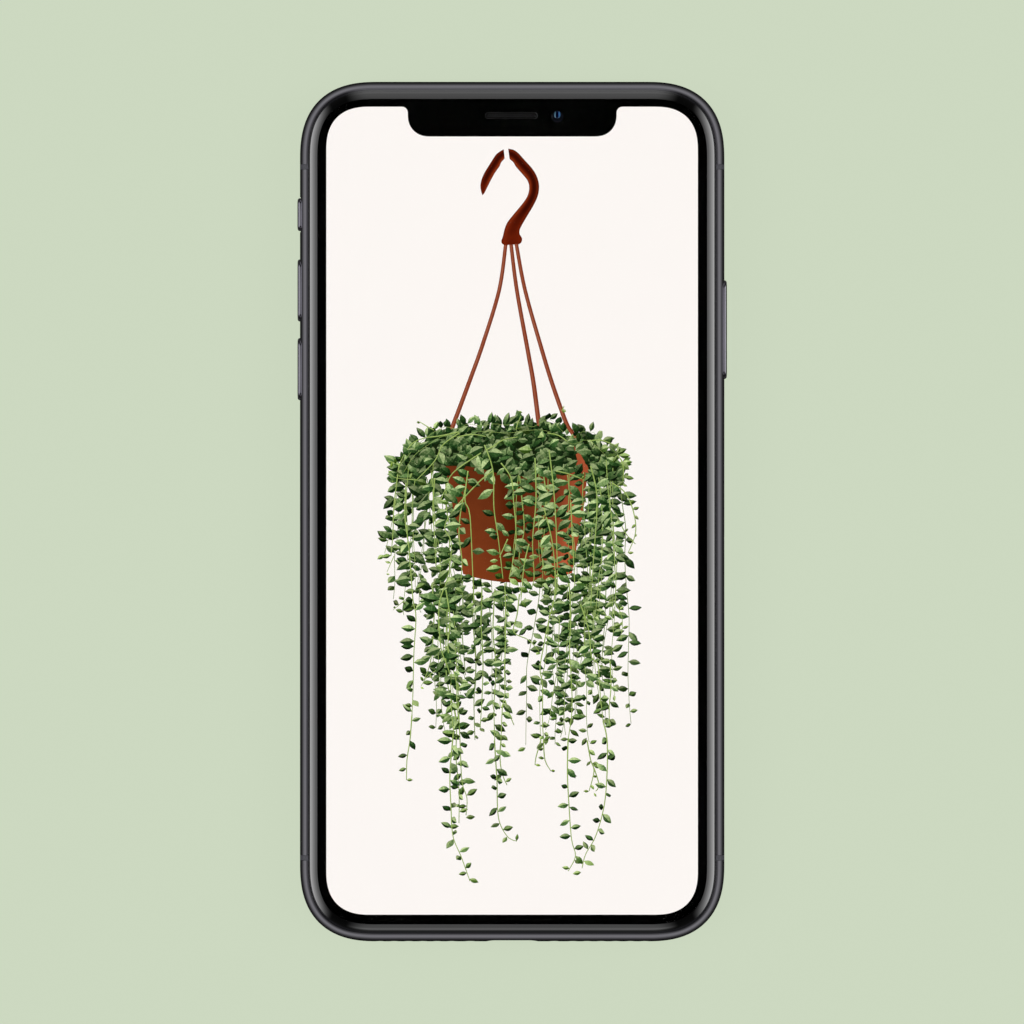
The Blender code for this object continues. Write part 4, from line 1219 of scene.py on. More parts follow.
FRINGES = (
    "397,480 400,466 408,456 416,446 426,438 436,431 446,427 458,429 468,424 480,426 494,424 508,425 "
    "521,422 532,427 546,420 554,422 562,431 572,438 582,432 594,433 602,442 612,449 620,458 624,474",
    "404,472 414,456 428,445 444,436 460,437 476,432 492,432 508,433 524,431 540,430 556,434 572,444 "
    "588,440 600,450 612,462",
)
FRINGE_LEAF = 9.5
BRANCHES = ("405,600 393,610", "394,556 387,572", "440,668 428,676 421,686", "614,600 622,618 621,640",
            "417,480 396,478 390,474")
BRANCH, THIN, FRINGE_THIN = (6, 4.5, 0.0, 0.8), 0.65, 0.3

stems = []
for layer, lines in STEMS.items():
    for line in lines.strip().splitlines():
        *numbers, route = line.split(maxsplit=4)
        stems.append((layer, *map(float, numbers), places(route), 1.0))
print(f"{len(stems)} stems placed by hand")
for route in BRANCHES:
    stems.append(("front", *BRANCH, places(route), THIN))
for route in FRINGES:
    for layer, lean, full in (("middle", 0.9, 1.0), ("front", 0.6, 0.6)):
        stems.append((layer, FRINGE_LEAF, FRINGE_LEAF, lean, full, places(route), FRINGE_THIN))

# %% Stems drawn by chance
# Each curtain: layer, number of stems, x range, top and bottom ranges, leaf length.
random.seed(7)
CURTAINS = (
    ("back", 8, (398, 448), (462, 490), (560, 620), 13),
    ("middle", 5, (397, 442), (455, 480), (545, 625), 13.5),
    ("back", 5, (432, 466), (560, 600), (660, 735), 12),
    ("middle", 3, (436, 458), (560, 600), (690, 740), 13),
    ("back", 7, (576, 622), (462, 490), (640, 735), 12),
    ("middle", 5, (578, 620), (455, 480), (600, 700), 12),
    ("front", 3, (592, 620), (455, 480), (600, 680), 12),
    ("back", 7, (536, 608), (560, 600), (695, 750), 11.5),
    ("middle", 5, (545, 606), (575, 620), (675, 748), 11.5),
    ("middle", 5, (510, 582), (465, 485), (560, 605), 12.5),
    ("back", 8, (480, 580), (470, 500), (590, 615), 12),
    ("back", 7, (468, 514), (575, 600), (650, 740), 10.5),
)
FIRST_SWAY, SWAY, CARRY, FALLS, TAPER = 0.5, 3.0, 0.6, (20, 34), 0.72
CURTAIN_LEAN, CURTAIN_FULL = (-0.3, 0.3), 0.9


def hanging_route(x, top, bottom):
    """A stem that hangs from a place and wanders a little."""
    route, y, drift = [(x, top)], top, random.uniform(-FIRST_SWAY, FIRST_SWAY)
    while y < bottom:
        y += random.uniform(*FALLS)
        drift = CARRY * drift + random.uniform(-SWAY, SWAY)
        x += drift
        route.append((x, min(y, bottom)))
    return route


for layer, count, across, tops, bottoms, length in CURTAINS:
    for i in range(count):
        x = across[0] + (across[1] - across[0]) * (i + random.random()) / count
        route = hanging_route(x, random.uniform(*tops), random.uniform(*bottoms))
        lean = random.uniform(*CURTAIN_LEAN)
        stems.append((layer, length, length * TAPER, lean, CURTAIN_FULL, route, THIN))
print(f"{len(stems)} stems in all")

# %% Grow the leaves
# Each layer: its depth of shade, the leaves' lowest and highest lift, the stems' level.
LAYERS = {
    "back": (0.6, 0.006632, 0.006650, 0.006641),
    "middle": (0.86, 0.006690, 0.006730, 0.006715),
    "front": (1.0, 0.006755, 0.006805, 0.006790),
}
LEAF_PITCH, STEM_RADIUS = 8.4 * GRID, 0.66 * GRID
OLD_LENGTH, YOUNG_LENGTH, SMALL_YOUTH = 8.0, 4.5, 0.8
TIP_FROM, TIP_YOUTH, NARROW_FROM, NARROW_BY, STEM_TAPER = 0.75, 1.4, 0.85, 0.2, 0.4
FIRST_SEED, SEED_STEP = 11, 20


def stem_lines(layer, depth):
    """The routes of a layer as lines of points that carry the values the trees read."""
    vertices, edges, rows = [], [], []
    for _, first, last, lean, full, route, thick in (stem for stem in stems if stem[0] == layer):
        line = smooth_route(route)
        edges += [(len(vertices) + i, len(vertices) + i + 1) for i in range(len(line) - 1)]
        for i, (x, y) in enumerate(line):
            share = i / max(1, len(line) - 1)
            length = first + (last - first) * share
            size = length * GRID * (1 - NARROW_BY * max(0.0, share - NARROW_FROM) / (1 - NARROW_FROM))
            small = max(0.0, (OLD_LENGTH - length) / (OLD_LENGTH - YOUNG_LENGTH)) * SMALL_YOUTH
            young = min(1.0, max(0.0, share - TIP_FROM) * TIP_YOUTH + small)
            vertices.append(on_grid(x, y))
            rows.append((size, lean, full, young, depth, thick * (1.0 - STEM_TAPER * share)))
    names = ("size", "lean", "full", "young", "depth", "stem")
    return linked("lines", carrying(vertices, edges, [], **dict(zip(names, zip(*rows)))))


for number, (layer, (depth, low, high, level)) in enumerate(LAYERS.items()):
    lines = stem_lines(layer, depth)
    leaves = run_tree(lines, leaf_tree, leaf=leaf, pitch=LEAF_PITCH, low=low, high=high,
                      seed=FIRST_SEED + SEED_STEP * number, finish=leaf_finish)
    flat_piece(f"picture_leaves_{layer}", leaves, leaf_finish)
    tubes = run_tree(lines, stem_tree, radius=STEM_RADIUS, level=level, finish=stem_finish)
    flat_piece(f"picture_stems_{layer}", tubes, stem_finish)
    discard(lines)

# %% [markdown]
# ## The pot, its hook and its hangers
# These are flat shapes between two edges, so one function lays a thin sheet across them and
# stores how far across and how far down each point is. A ramp on those two values paints
# light and shade on the round of the pot, shade in the groove of the hook with a highlight
# beside it, and light and shade across each hanger.

# %% Sheets between two edges
SHEET = 0.000003


def evenly(points, count):
    """A route as this many points, evenly spaced along it."""
    reach = [0.0]
    for start, end in zip(points, points[1:]):
        reach.append(reach[-1] + math.dist(start, end))
    line, i = [], 0
    for step in range(count):
        want = reach[-1] * step / (count - 1)
        while i < len(points) - 2 and reach[i + 1] < want:
            i += 1
        share = min(1.0, (want - reach[i]) / max(1e-9, reach[i + 1] - reach[i]))
        line.append(tuple(a + (b - a) * share for a, b in zip(points[i], points[i + 1])))
    return line


def sheet_between(first, last, columns, rows, level, sag=0.0):
    """A thin sheet from one edge route to another, with its shares across and down stored."""
    first, last = evenly(first, rows + 1), evenly(last, rows + 1)
    vertices, across, down = [], [], []
    for height in (level, level + SHEET):
        for i, (near, far) in enumerate(zip(first, last)):
            for j in range(columns + 1):
                share = j / columns
                drop = sag * (1 - (2 * share - 1) ** 2) * i / rows
                x, y = (a + (b - a) * share for a, b in zip(near, far))
                vertices.append(on_grid(x, y + drop, height))
                across.append(share)
                down.append(i / rows)
    wide, layer = columns + 1, (columns + 1) * (rows + 1)
    faces = []
    for i in range(rows):
        for j in range(columns):
            a = i * wide + j
            b, c, d = a + 1, a + wide + 1, a + wide
            faces += [(a, b, c, d), (layer + d, layer + c, layer + b, layer + a)]
    rim = list(range(columns)) + [i * wide + columns for i in range(rows)]
    rim += [rows * wide + j for j in range(columns, 0, -1)] + [i * wide for i in range(rows, 0, -1)]
    faces += [(b, a, layer + a, layer + b) for a, b in zip(rim, rim[1:] + rim[:1])]
    return carrying(vertices, [], faces, across=across, down=down)


# %% Pot
POT_LEVEL, POT_SAG, POT_GRID, CLIP_GRID = 0.006660, 9.0, (28, 18), (2, 6)
POT_LEFT = "440.5,464.5 444,473 450,492 457,530 461,560 463,574"
POT_RIGHT = "588,462 585.5,497 580.5,526 572,573"
CLIP_LEFT, CLIP_RIGHT = "575,452 577,459 576,465 580,472", "579,451 583,459 587,465 590,473"
CLIP_LEVEL = 0.006753
# The clip takes the pot's colour at 0.93 across, where the painted highlight is, and halfway down.
CLIP_VALUES = {"across": 0.93, "down": 0.5}
WEAR_GRAIN, WEAR, SHADE_UNDER_CROWN = (0.0016, 4.0), (0.35, 0.7, 0.0, 0.22), (0.64, 1.08)


def terracotta(tree):
    # The terracotta colour with painted light and shade on the pot's round: darkest near its middle, with a
    # painted highlight towards its right.
    pot_colour_with_painted_light = painted_ramp(
        tree, stored(tree, "across"), (0.0, (136, 64, 34)), (0.12, (124, 58, 27)), (0.30, (118, 54, 25)),
        (0.40, (98, 40, 14)), (0.47, (92, 34, 11)), (0.56, (110, 50, 24)), (0.8, (136, 66, 38)),
        (0.92, (186, 92, 58)), (1.0, (160, 76, 44)))
    wear = tree.between(tree.noise(*WEAR_GRAIN), *WEAR)
    # The pot is painted darker towards its top, as shade under the crown of leaves.
    shade_under_crown = tree.between(stored(tree, "down"), 0.0, 1.0, *SHADE_UNDER_CROWN)
    return times(tree, tree.mix(wear, pot_colour_with_painted_light, srgb(96, 38, 16)), shade_under_crown)


pot = sheet_between(places(POT_LEFT), places(POT_RIGHT), *POT_GRID, POT_LEVEL, POT_SAG)
clip = sheet_between(places(CLIP_LEFT), places(CLIP_RIGHT), *CLIP_GRID, CLIP_LEVEL)
for name, value in CLIP_VALUES.items():
    clip.attributes[name].data.foreach_set("value", [value] * len(clip.vertices))
flat_piece("picture_pot", merged([pot, clip]), glowing("terracotta", terracotta))

# %% Hook and hangers
HOOK_LEVEL, HOOK_GRID, HANGER_GRID = 0.006668, (8, 48), (6, 60)
HOOK_GRAIN, GROOVE_END, HANGER_GRAIN = 0.0012, (0.62, 0.9, 0.15, 0.8), 0.003
PRONG_OUTER = """503.7,149.5 496.6,154 491,162.4 484,173.7 480.9,182 480.5,188.4 482.3,195.4"""
PRONG_INNER = """504.7,158.6 501.2,162.4 499.5,166.6 494.5,173.7 488.2,185.6 484,194 482.3,195.4"""
HOOK_OUTER = """508.2,148.8 513.5,149.8 518.4,153.3 524.7,160.3 531.7,168 536.6,175.8 539.1,184.9 538.4,194
    535.2,202.4 529.6,212.2 523.3,222.7 519.4,230.5 519.4,234 522.2,238.2 521.9,242.4
    519.1,244.5"""
HOOK_INNER = """509.6,159.3 513.5,162.4 515.6,166.6 521.9,173.7 527.5,180.7 529.3,187.7 527.5,196.1
    521.9,204.5 514.9,212.9 507.2,222.7 504.4,229.8 502.6,237.5 501.2,241 501.6,243.8
    504.4,245.2"""
HANGERS = (("505.8,244 499.2,290 483.2,343 470,380 453.6,424 448,438", -0.000004),
           ("511,244 516.8,290 528.2,353 533.5,383 538.5,421 541,435", -0.000004),
           ("516.3,244 525,290 541,347 551,380 561.7,411 567.6,426 574.5,437 577,452", 0.000086))
HANGER_HALF, HANGER_GROWTH = 1.85, 0.6


def hook_brown(tree):
    # Across the hook, shade is painted dark in the groove, with a painted highlight beside it.
    groove_shade_and_highlight = painted_ramp(
        tree, stored(tree, "across"), (0.0, (80, 30, 16)), (0.13, (100, 30, 12)), (0.3, (48, 9, 3)),
        (0.5, (42, 6, 2)), (0.7, (92, 26, 9)), (0.86, (140, 54, 24)), (1.0, (92, 32, 14)))
    plain = tree.mix(tree.noise(HOOK_GRAIN), srgb(86, 20, 4), srgb(118, 34, 10))
    return tree.mix(tree.between(stored(tree, "down"), *GROOVE_END), groove_shade_and_highlight, plain)


def hanger_brown(tree):
    # Painted light and shade across each hanger, lightest a little left of its middle and darkest at its
    # right edge.
    rounded = painted_ramp(
        tree, stored(tree, "across"), (0.0, (112, 52, 34)), (0.25, (156, 86, 62)), (0.42, (178, 116, 90)),
        (0.65, (132, 62, 40)), (1.0, (88, 32, 18)))
    return tree.mix(tree.noise(HANGER_GRAIN), rounded, srgb(132, 58, 34))


hook = [sheet_between(smooth_route(places(outer)), smooth_route(places(inner)), *HOOK_GRID, HOOK_LEVEL)
        for outer, inner in ((PRONG_OUTER, PRONG_INNER), (HOOK_OUTER, HOOK_INNER))]
flat_piece("picture_hook", merged(hook), glowing("hook brown", hook_brown))
hangers = []
for hanger, lift in HANGERS:
    line = smooth_route(places(hanger))
    edges = [[(x + side * (HANGER_HALF + HANGER_GROWTH * i / len(line)), y) for i, (x, y) in enumerate(line)]
             for side in (-1, 1)]
    hangers.append(sheet_between(*edges, *HANGER_GRID, HOOK_LEVEL + lift))
flat_piece("picture_hangers", merged(hangers), glowing("hanger brown", hanger_brown))

# %% [markdown]
# ## The crown of leaves
# On top the plant is a heap with no stems to follow. Its leaves are scattered over a patch
# by seeded points, pointing every way. A dark patch under them stands for the shade inside
# the heap, and the leaves nearest the viewer are the lightest.

# %% Crown
CROWN_TOP = """398,474 404,463 412,452 422,443 434,436 442,430 452,429 460,431 468,425 477,429 488,429
    500,427 511,429 521,424 532,430 546,421 553,423 561,432 571,440 580,433 591,434 598,441
    605,450 614,453 619,461 623,474"""
CROWN_FOOT = """399,480 416,482 434,471 444,466 466,466 482,469 500,474 520,475 540,474 560,473 576,463
    592,474 608,483 623,480"""
CROWN_LEVEL, CROWN_LEAF = 0.006672, 12.0 * GRID
LEAVES_PER_AREA, PATCH_GRID, SHADE_GRAIN = 0.5e6, (6, 48), 0.0008
CROWNS = (("behind", 0.006677, 0.006688, 0.1, 5), ("before", 0.006735, 0.006752, 0.4, 9))
HEAP_ROLL, HEAP_TILT, HEAP_SPIN, HEAP_SPREAD = (-0.8, 0.8), (-1.2, 0.5), (-1.2, 4.3), (0.75, 1.2)
PLUMP, FRESH_SHARE, FRESH_YOUTH, LIGHTEST_TONE = 1.12, 0.94, 0.35, 0.8

tree, (patch, form, density, length, low, high, shade, seed, finish) = new_tree(
    "heap of leaves", Fields, Leaf="Object", Density="Float", Length="Float", Low="Float", High="Float",
    Shade="Float", Seed="Int")
crown_tree = tree
tree.seed = seed
named, dice = tree.named, tree.dice
points = tree.geo("DistributePointsOnFaces", {0: patch, "Density": density, "Seed": seed})
size = length * dice(*HEAP_SPREAD, 4)
turn = (dice(*HEAP_ROLL, 1), dice(*HEAP_TILT, 2), dice(*HEAP_SPIN, 3))
leaves = tree.leaves(points, form, turn, tree.vector(size, size * PLUMP, size))
near = named("near")
leaves = tree.keep(
    leaves, "INSTANCE", near=dice(0.0, 1.0, 5), lift=tree.between(near, 0.0, 1.0, low, high),
    depth=tree.between(near, 0.0, 1.0, shade, 1.0), tone=dice(0.0, LIGHTEST_TONE, 6),
    young=dice(0.0, 1.0, 7).maths("GREATER_THAN", FRESH_SHARE) * FRESH_YOUTH)
tree.light_and_press(leaves, finish)


def heap_shade(tree):
    return tree.mix(tree.noise(SHADE_GRAIN), srgb(6, 14, 4), srgb(28, 44, 16))


patch_mesh = sheet_between(places(CROWN_TOP), places(CROWN_FOOT), *PATCH_GRID, CROWN_LEVEL)
for word, low, high, shade, seed in CROWNS:
    patch = linked("patch", patch_mesh.copy())
    crown = run_tree(patch, crown_tree, leaf=leaf, density=LEAVES_PER_AREA, length=CROWN_LEAF, low=low,
                     high=high, shade=shade, seed=seed, finish=leaf_finish)
    discard(patch)
    flat_piece(f"picture_crown_{word}", crown, leaf_finish)
flat_piece("picture_crown_shade", patch_mesh, glowing("shade in the heap", heap_shade))
discard(leaf)

# %% [markdown]
# ## The earpiece's grille
# The slot at the top has a fine perforated sheet in a rim. Perforations follow a rule, so a
# tree makes them: a grid of points with every second row shifted, the points near the edge
# deleted, a hole's outline on each of the rest, and Fill Curve, which leaves them open.

# %% Perforated sheet
PERFORATION, HOLE_RADIUS, HOLE_SIDES = 0.00021, 0.000075, 8
GRILLE_TOP, GRILLE_THICK, GRILLE_RIM, GRILLE_PLAY = 0.00735, 0.0001, 0.00014, 0.00006
ROW_SHARE, ROW_REACH, EDGE_SHARE = 0.87, 2.4, 1.5
RIM_Z, RIM_EASE = (0.0069, 0.0075), 0.00003

tree, (edge, half, radius, pitch, hole, thick, finish) = new_tree(
    "perforated sheet", Half="Float", Radius="Float", Pitch="Float", Hole="Float", Thick="Float")
grille_tree = tree
columns = (half * 2.0 / pitch).maths("FLOOR")
rows = (radius * ROW_REACH / pitch).maths("FLOOR")
row_gap = pitch * ROW_SHARE
span = {0: (columns - 1.0) * pitch, 1: (rows - 1.0) * row_gap, 2: columns, 3: rows}
x, y, _ = tree.parts(tree.geo("InputPosition"))
nudge = ((y + 1.0) / row_gap).maths("ROUND").maths("MODULO", 2.0) * (pitch * 0.5)
grid = tree.geo("SetPosition", {0: tree.geo("MeshGrid", span), 3: tree.vector(nudge)})
past = (x.maths("ABSOLUTE") - (half - radius)).maths("MAXIMUM", 0.0)
outside = (past * past + y * y).maths("SQRT").maths("GREATER_THAN", radius - hole * EDGE_SHARE)
grid = tree.geo("DeleteGeometry", {0: grid, 1: outside})
hole = tree.geo("CurvePrimitiveCircle", {"Resolution": HOLE_SIDES, "Radius": hole}, mode="RADIUS")
holes = tree.geo("InstanceOnPoints", {0: grid, "Instance": hole})
both = tree.geo("JoinGeometry", {0: tree.geo("RealizeInstances", {0: holes})})
tree.give(both.socket.node.inputs[0], edge)
plate = tree.geo("FillCurve", {0: both})
raised = {0: plate, "Offset": tree.vector(z=thick), "Offset Scale": 1.0, "Individual": False}
whole = tree.geo("JoinGeometry", {0: tree.geo("ExtrudeMesh", raised)})
tree.give(whole.socket.node.inputs[0], tree.geo("FlipFaces", {0: plate}))
tree.end(whole, finish)

centre, half, radius = EARPIECE[0], EARPIECE[1] - HAIRLINE, EARPIECE[2] - HAIRLINE
edge = drawn("edge", stadium((0, 0), half, radius, -GRILLE_PLAY, EARPIECE_STEPS))
mesh = run_tree(edge, grille_tree, half=half - GRILLE_PLAY, radius=radius - GRILLE_PLAY, pitch=PERFORATION,
                hole=HOLE_RADIUS, thick=GRILLE_THICK, finish=finishes["mesh_metal"])
discard(edge)
mesh.transform(Matrix.Translation((*centre, GRILLE_TOP - GRILLE_THICK)))
sheet = piece_from("sheet", mesh, smooth=False)
rim_shapes = [stadium(centre, half, radius, grow, EARPIECE_STEPS) for grow in (0.0, -GRILLE_RIM)]
rim = prism("rim", rim_shapes, *RIM_Z, ease=RIM_EASE)
settle(joined("earpiece_grille", sheet, rim), "mesh_metal", replaces="earpiece_mesh")

# %% [markdown]
# ## The front camera
# Behind its clear circle the camera is a black funnel with a small coated lens. The coating
# is a deep blue, with a paler painted reflection to the left and a dark painted reflection in a
# middle strip. The lens is flat there and falls away to both sides, so it mirrors the studio's
# two long lights as two small spots.

# %% Front camera lens
LENS_PLACE = (FRONT_CAMERA[0] - 0.00006, FRONT_CAMERA[1] + 0.00034)
LENS_EDGE, LENS_TOP, LENS_FLAT, LENS_FOOT, LENS_RINGS = 0.00054, 0.00662, 0.00018, 0.0061, 12
LENS_SLOPE, LENS_CURVE = 0.25, 560
LEFT_PAINTED_REFLECTION, LEFT_REFLECTION_ENDS = (0.036, 0.07, 0.10, 1), (0.0001, -0.0002)
MIDDLE_PAINTED_DARK, MIDDLE_DARK_ENDS = (0.0004, 0.001, 0.007, 1), (0.00019, 0.00027)
FUNNEL = ((0.0018, 0.0060), (0.0018, 0.0067), (0.0013, 0.0067), (0.00098, 0.00648), (0.00064, 0.00642),
          (0.00064, 0.0060))


def lens_height(across):
    """The height of the lens at this distance from its middle line."""
    past = max(0.0, abs(across) - LENS_FLAT)
    return LENS_TOP - LENS_SLOPE * past - LENS_CURVE * past ** 2


rings = [ring(circle(LENS_PLACE, LENS_EDGE), LENS_FOOT)]
for step in range(LENS_RINGS + 1):
    radius = max(LENS_EDGE * (1 - step / LENS_RINGS), 0.00001)
    rings.append([(x, y, lens_height(x - LENS_PLACE[0])) for x, y in circle(LENS_PLACE, radius)])
barrel = loft("front_camera_barrel", rings)
settle(barrel, "lens_glass", replaces="front_camera_lens", finish="front_coating")
tree = Tree(finishes["front_coating"].node_tree)
colour = tree.group.nodes["Principled BSDF"].inputs["Base Color"]
# The paler left side is a painted reflection, and the dark middle strip is a painted dark reflection of the
# dark overhead.
across = tree.parts(tree.place())[0]
left = tree.between(across, *[LENS_PLACE[0] + end for end in LEFT_REFLECTION_ENDS])
coat_and_reflection = tree.mix(left, Value(tree, colour.links[0].from_socket), LEFT_PAINTED_REFLECTION)
away = (across - LENS_PLACE[0]).maths("ABSOLUTE")
tree.give(colour, tree.mix(soft_step(tree, away, MIDDLE_DARK_ENDS), MIDDLE_PAINTED_DARK, coat_and_reflection))
settle(turned("front_camera_seat", LENS_PLACE, FUNNEL), "black_resin", finish="camera_navy")

# %% [markdown]
# ## Keys and switch
# A key is a bar with round ends. Its face is very slightly crowned and its edge is rounded,
# so a light runs along it and its ends go dark. Behind the wall a wider flange keeps it in.
# The mute switch is the same form, and it shows an orange mark beside it when slid back.

# %% Side keys
KEY_PROUD, KEY_EASE, KEY_CROWN = 0.00042, 0.00040, 0.00003
FLANGE_X, FLANGE_CORNER, FLANGE_EASE = (0.03175, 0.03235), 0.0004, 0.00005
FLANGE_MARGIN, FLANGE_LIFT, FLANGE_STEPS = 0.0006, 0.0003, 4
EASE_TURNS, CROWN_SHARES = 6, (0.25, 0.5, 0.75, 0.93)
KEYS = (("volume_up_button", "volume_up", -1, VOLUME_UP_Y, VOLUME_HALF),
        ("volume_down_button", "volume_down", -1, VOLUME_DOWN_Y, VOLUME_HALF),
        ("side_button", "side_key", 1, SIDE_KEY_Y, SIDE_KEY_HALF))


def make_key(node, body, side, centre, half, radius, flange_half):
    """A key on one side, from its flange to its crowned face."""
    face = HALF_WIDTH + KEY_PROUD
    rows = [(FLANGE_X[1] - HAIRLINE, 0.0)]
    for turn in turns(0, QUARTER, EASE_TURNS):
        rows.append((face - KEY_CROWN - KEY_EASE * (1 - math.sin(turn)), KEY_EASE * (1 - math.cos(turn))))
    for share in CROWN_SHARES:
        rows.append((face - KEY_CROWN * (1 - share) ** 2, KEY_EASE + (radius - KEY_EASE) * share))
    levels = [(side * x, -inset) for x, inset in rows]
    cap = stack("cap", lambda grow: stadium(centre, half, radius, grow), levels, 0)
    plate = round_box(centre, flange_half, FLANGE_CORNER, FLANGE_STEPS)
    flange = prism("flange", [plate], *sorted(side * x for x in FLANGE_X), 0, FLANGE_EASE)
    settle(joined(f"{node}_cap", cap, flange), "graphite_steel", body, node, "key_steel")


for node, body, side, y, half in KEYS:
    flange_half = (half + FLANGE_MARGIN, KEY_RADIUS + FLANGE_LIFT)
    make_key(node, body, side, (y, MIDDLE), half, KEY_RADIUS, flange_half)

# %% Mute switch
MARK_HALF, MARK_LIFT, MARK_CORNER = (0.0021, 0.00012), 0.00028, 0.0001
MARK_X = (-FLANGE_X[1] - 0.00002, -FLANGE_X[1] + 0.00005)

switch_z = MIDDLE + MUTE_TRAVEL / 2
flange_half = (MUTE_SLOT_HALF[0] + FLANGE_LIFT, MUTE_SLOT_HALF[1] - HAIRLINE)
make_key("mute_switch", "mute", -1, (MUTE_Y, switch_z), MUTE_HALF, MUTE_RADIUS, flange_half)
mark = round_box((MUTE_Y, switch_z + MUTE_RADIUS + MARK_LIFT), MARK_HALF, MARK_CORNER, 4)
settle(prism("mute_switch_mark", [mark], *MARK_X, 0), "flash_resin", "mute", finish="orange_mark")

# %% [markdown]
# ## Card tray
# The tray's face fills its slot and follows the curve of the band, so it is cut from the
# same half ellipse. Behind it a thin plate with a pocket carries the card, which lies with
# its gold contacts showing. The pin hole beside them lets the tray out.

# %% Tray and card
TRAY_FACE_X, TRAY_BACK_X, TRAY_OVERLAP = 0.0339, 0.0200, 0.0001
TRAY_HALF_WIDTH, TRAY_HALF_HEIGHT, TRAY_CORNER, TRAY_EASE = 0.0069, 0.0005, 0.0012, 0.00006
CARD_HALF, CARD_THICK, CARD_CUT, CARD_EASE = (0.0044, 0.00615), 0.00067, 0.0018, 0.00004
CARD_X, CARD_SUNK = 0.0264, 0.00005
EJECT_Y, EJECT_RADIUS, EJECT_STEPS, EJECT_DEPTH, ABOVE = -0.0045, 0.00042, 24, 0.0020, 0.002
FACE_SHARES = (0.3, 0.6, 0.9)


def face_ring(inset, rise=0.0):
    """The tray face's shape, bent to the side's ellipse, at a depth under the surface."""
    shape = stadium((TRAY_Y, MIDDLE), TRAY_FACE_HALF, TRAY_FACE_RADIUS, -inset)
    bows = [EDGE_ROUND * (1 - math.sqrt(1 - ((z - MIDDLE) / MIDDLE) ** 2)) for _, z in shape]
    return [(HALF_WIDTH - bow - rise, y, z) for bow, (y, z) in zip(bows, shape)]


def card_shape(grow):
    """The card's outline with its one cut corner."""
    left, right = CARD_X - CARD_HALF[0] - grow, CARD_X + CARD_HALF[0] + grow
    near, far = TRAY_Y - CARD_HALF[1] - grow, TRAY_Y + CARD_HALF[1] + grow
    cut = CARD_CUT + grow * 2 / 3
    return [(left, near), (right, near), (right, far - cut), (right - cut, far), (left, far)]


half_length = (TRAY_FACE_X - TRAY_BACK_X) / 2 + TRAY_OVERLAP
plate_shape = round_box((TRAY_BACK_X + half_length, TRAY_Y), (half_length, TRAY_HALF_WIDTH), TRAY_CORNER)
plate = prism("plate", [plate_shape], MIDDLE - TRAY_HALF_HEIGHT, MIDDLE + TRAY_HALF_HEIGHT, ease=TRAY_EASE)
face_rows = [ring([point[1:] for point in face_ring(0.0)], TRAY_FACE_X, 0), face_ring(0.0, TRAY_EASE),
             face_ring(TRAY_EASE), *[face_ring(TRAY_FACE_RADIUS * share) for share in FACE_SHARES]]
card_top = MIDDLE + TRAY_HALF_HEIGHT - CARD_SUNK
pocket = prism("pocket", [card_shape(HAIRLINE)], card_top - CARD_THICK - CARD_SUNK, card_top + ABOVE)
pin_ends = (HALF_WIDTH - EJECT_DEPTH, HALF_WIDTH + ABOVE)
pin = prism("pin hole", [circle((EJECT_Y, MIDDLE), EJECT_RADIUS, EJECT_STEPS)], *pin_ends, axis=0)
tray = boolean(boolean(plate, "UNION", loft("face", face_rows)), "DIFFERENCE", pocket, pin)
tray.name = "card_tray"
settle(tray, "graphite_steel", "tray", "sim_tray")
card = prism("card", [card_shape(0.0)], card_top - CARD_THICK, card_top, ease=CARD_EASE)
settle(card, "card_plastic", "tray", "sim_card")

# %% Gold contacts on the card
PAD_HALF, PAD_CORNER, PAD_RISE, PAD_PITCH = 0.00112, 0.0003, 0.00001, 0.00254
PAD_SHIFT, PAD_COUNTS = (0.0002, 0.0004), (3, 4)
pad_tree, (_, pad, pitch, columns, rows, finish) = new_tree(
    "pads", Pad="Object", Pitch="Float", Columns="Int", Rows="Int")
span = {0: (columns - 1.0) * pitch, 1: (rows - 1.0) * pitch, 2: columns, 3: rows}
pad = pad_tree.geo("ObjectInfo", {0: pad}, "Geometry")
pad_tree.end(pad_tree.geo("InstanceOnPoints", {0: pad_tree.geo("MeshGrid", span), "Instance": pad}), finish)


def gold_pads(name, body, shape, rise, pitch, columns, rows, centre):
    """Gold contacts of one shape on a flat grid, by the tree, moved to their place."""
    one = prism("pad", [shape], -rise, rise)
    mesh = run_alone(pad_tree, centre, pad=one, pitch=pitch, columns=columns, rows=rows,
                     finish=finishes["gold_contact"])
    discard(one)
    settle(piece_from(name, mesh), "copper", body, finish="gold_contact")


pad = round_box((0, 0), (PAD_HALF, PAD_HALF), PAD_CORNER, 4)
pads_at = (CARD_X - PAD_SHIFT[0], TRAY_Y - PAD_SHIFT[1], card_top + PAD_RISE)
gold_pads("card_contacts", "tray", pad, PAD_RISE, PAD_PITCH, *PAD_COUNTS, pads_at)

# %% [markdown]
# ## Bottom edge
# The charging port is a drawn steel shell with a tongue that carries gold contacts on both
# sides. Each housing screw has a domed head with a plain cross.

# %% Port
TONGUE_HALF, TONGUE_EASE = (0.00335, 0.00035), 0.00012
TONGUE_FRONT, TONGUE_BACK = -0.0708, 0.0018
CONTACT_PITCH, CONTACT_RISE, CONTACT_START = 0.0005, 0.000015, 0.0022
CONTACT = round_box((0, 0), (0.00014, 0.0017), 0.00005, 2)
PORT_LIP, CONTACT_COUNTS, BLADE_STEPS = 0.00008, (12, 1), 5

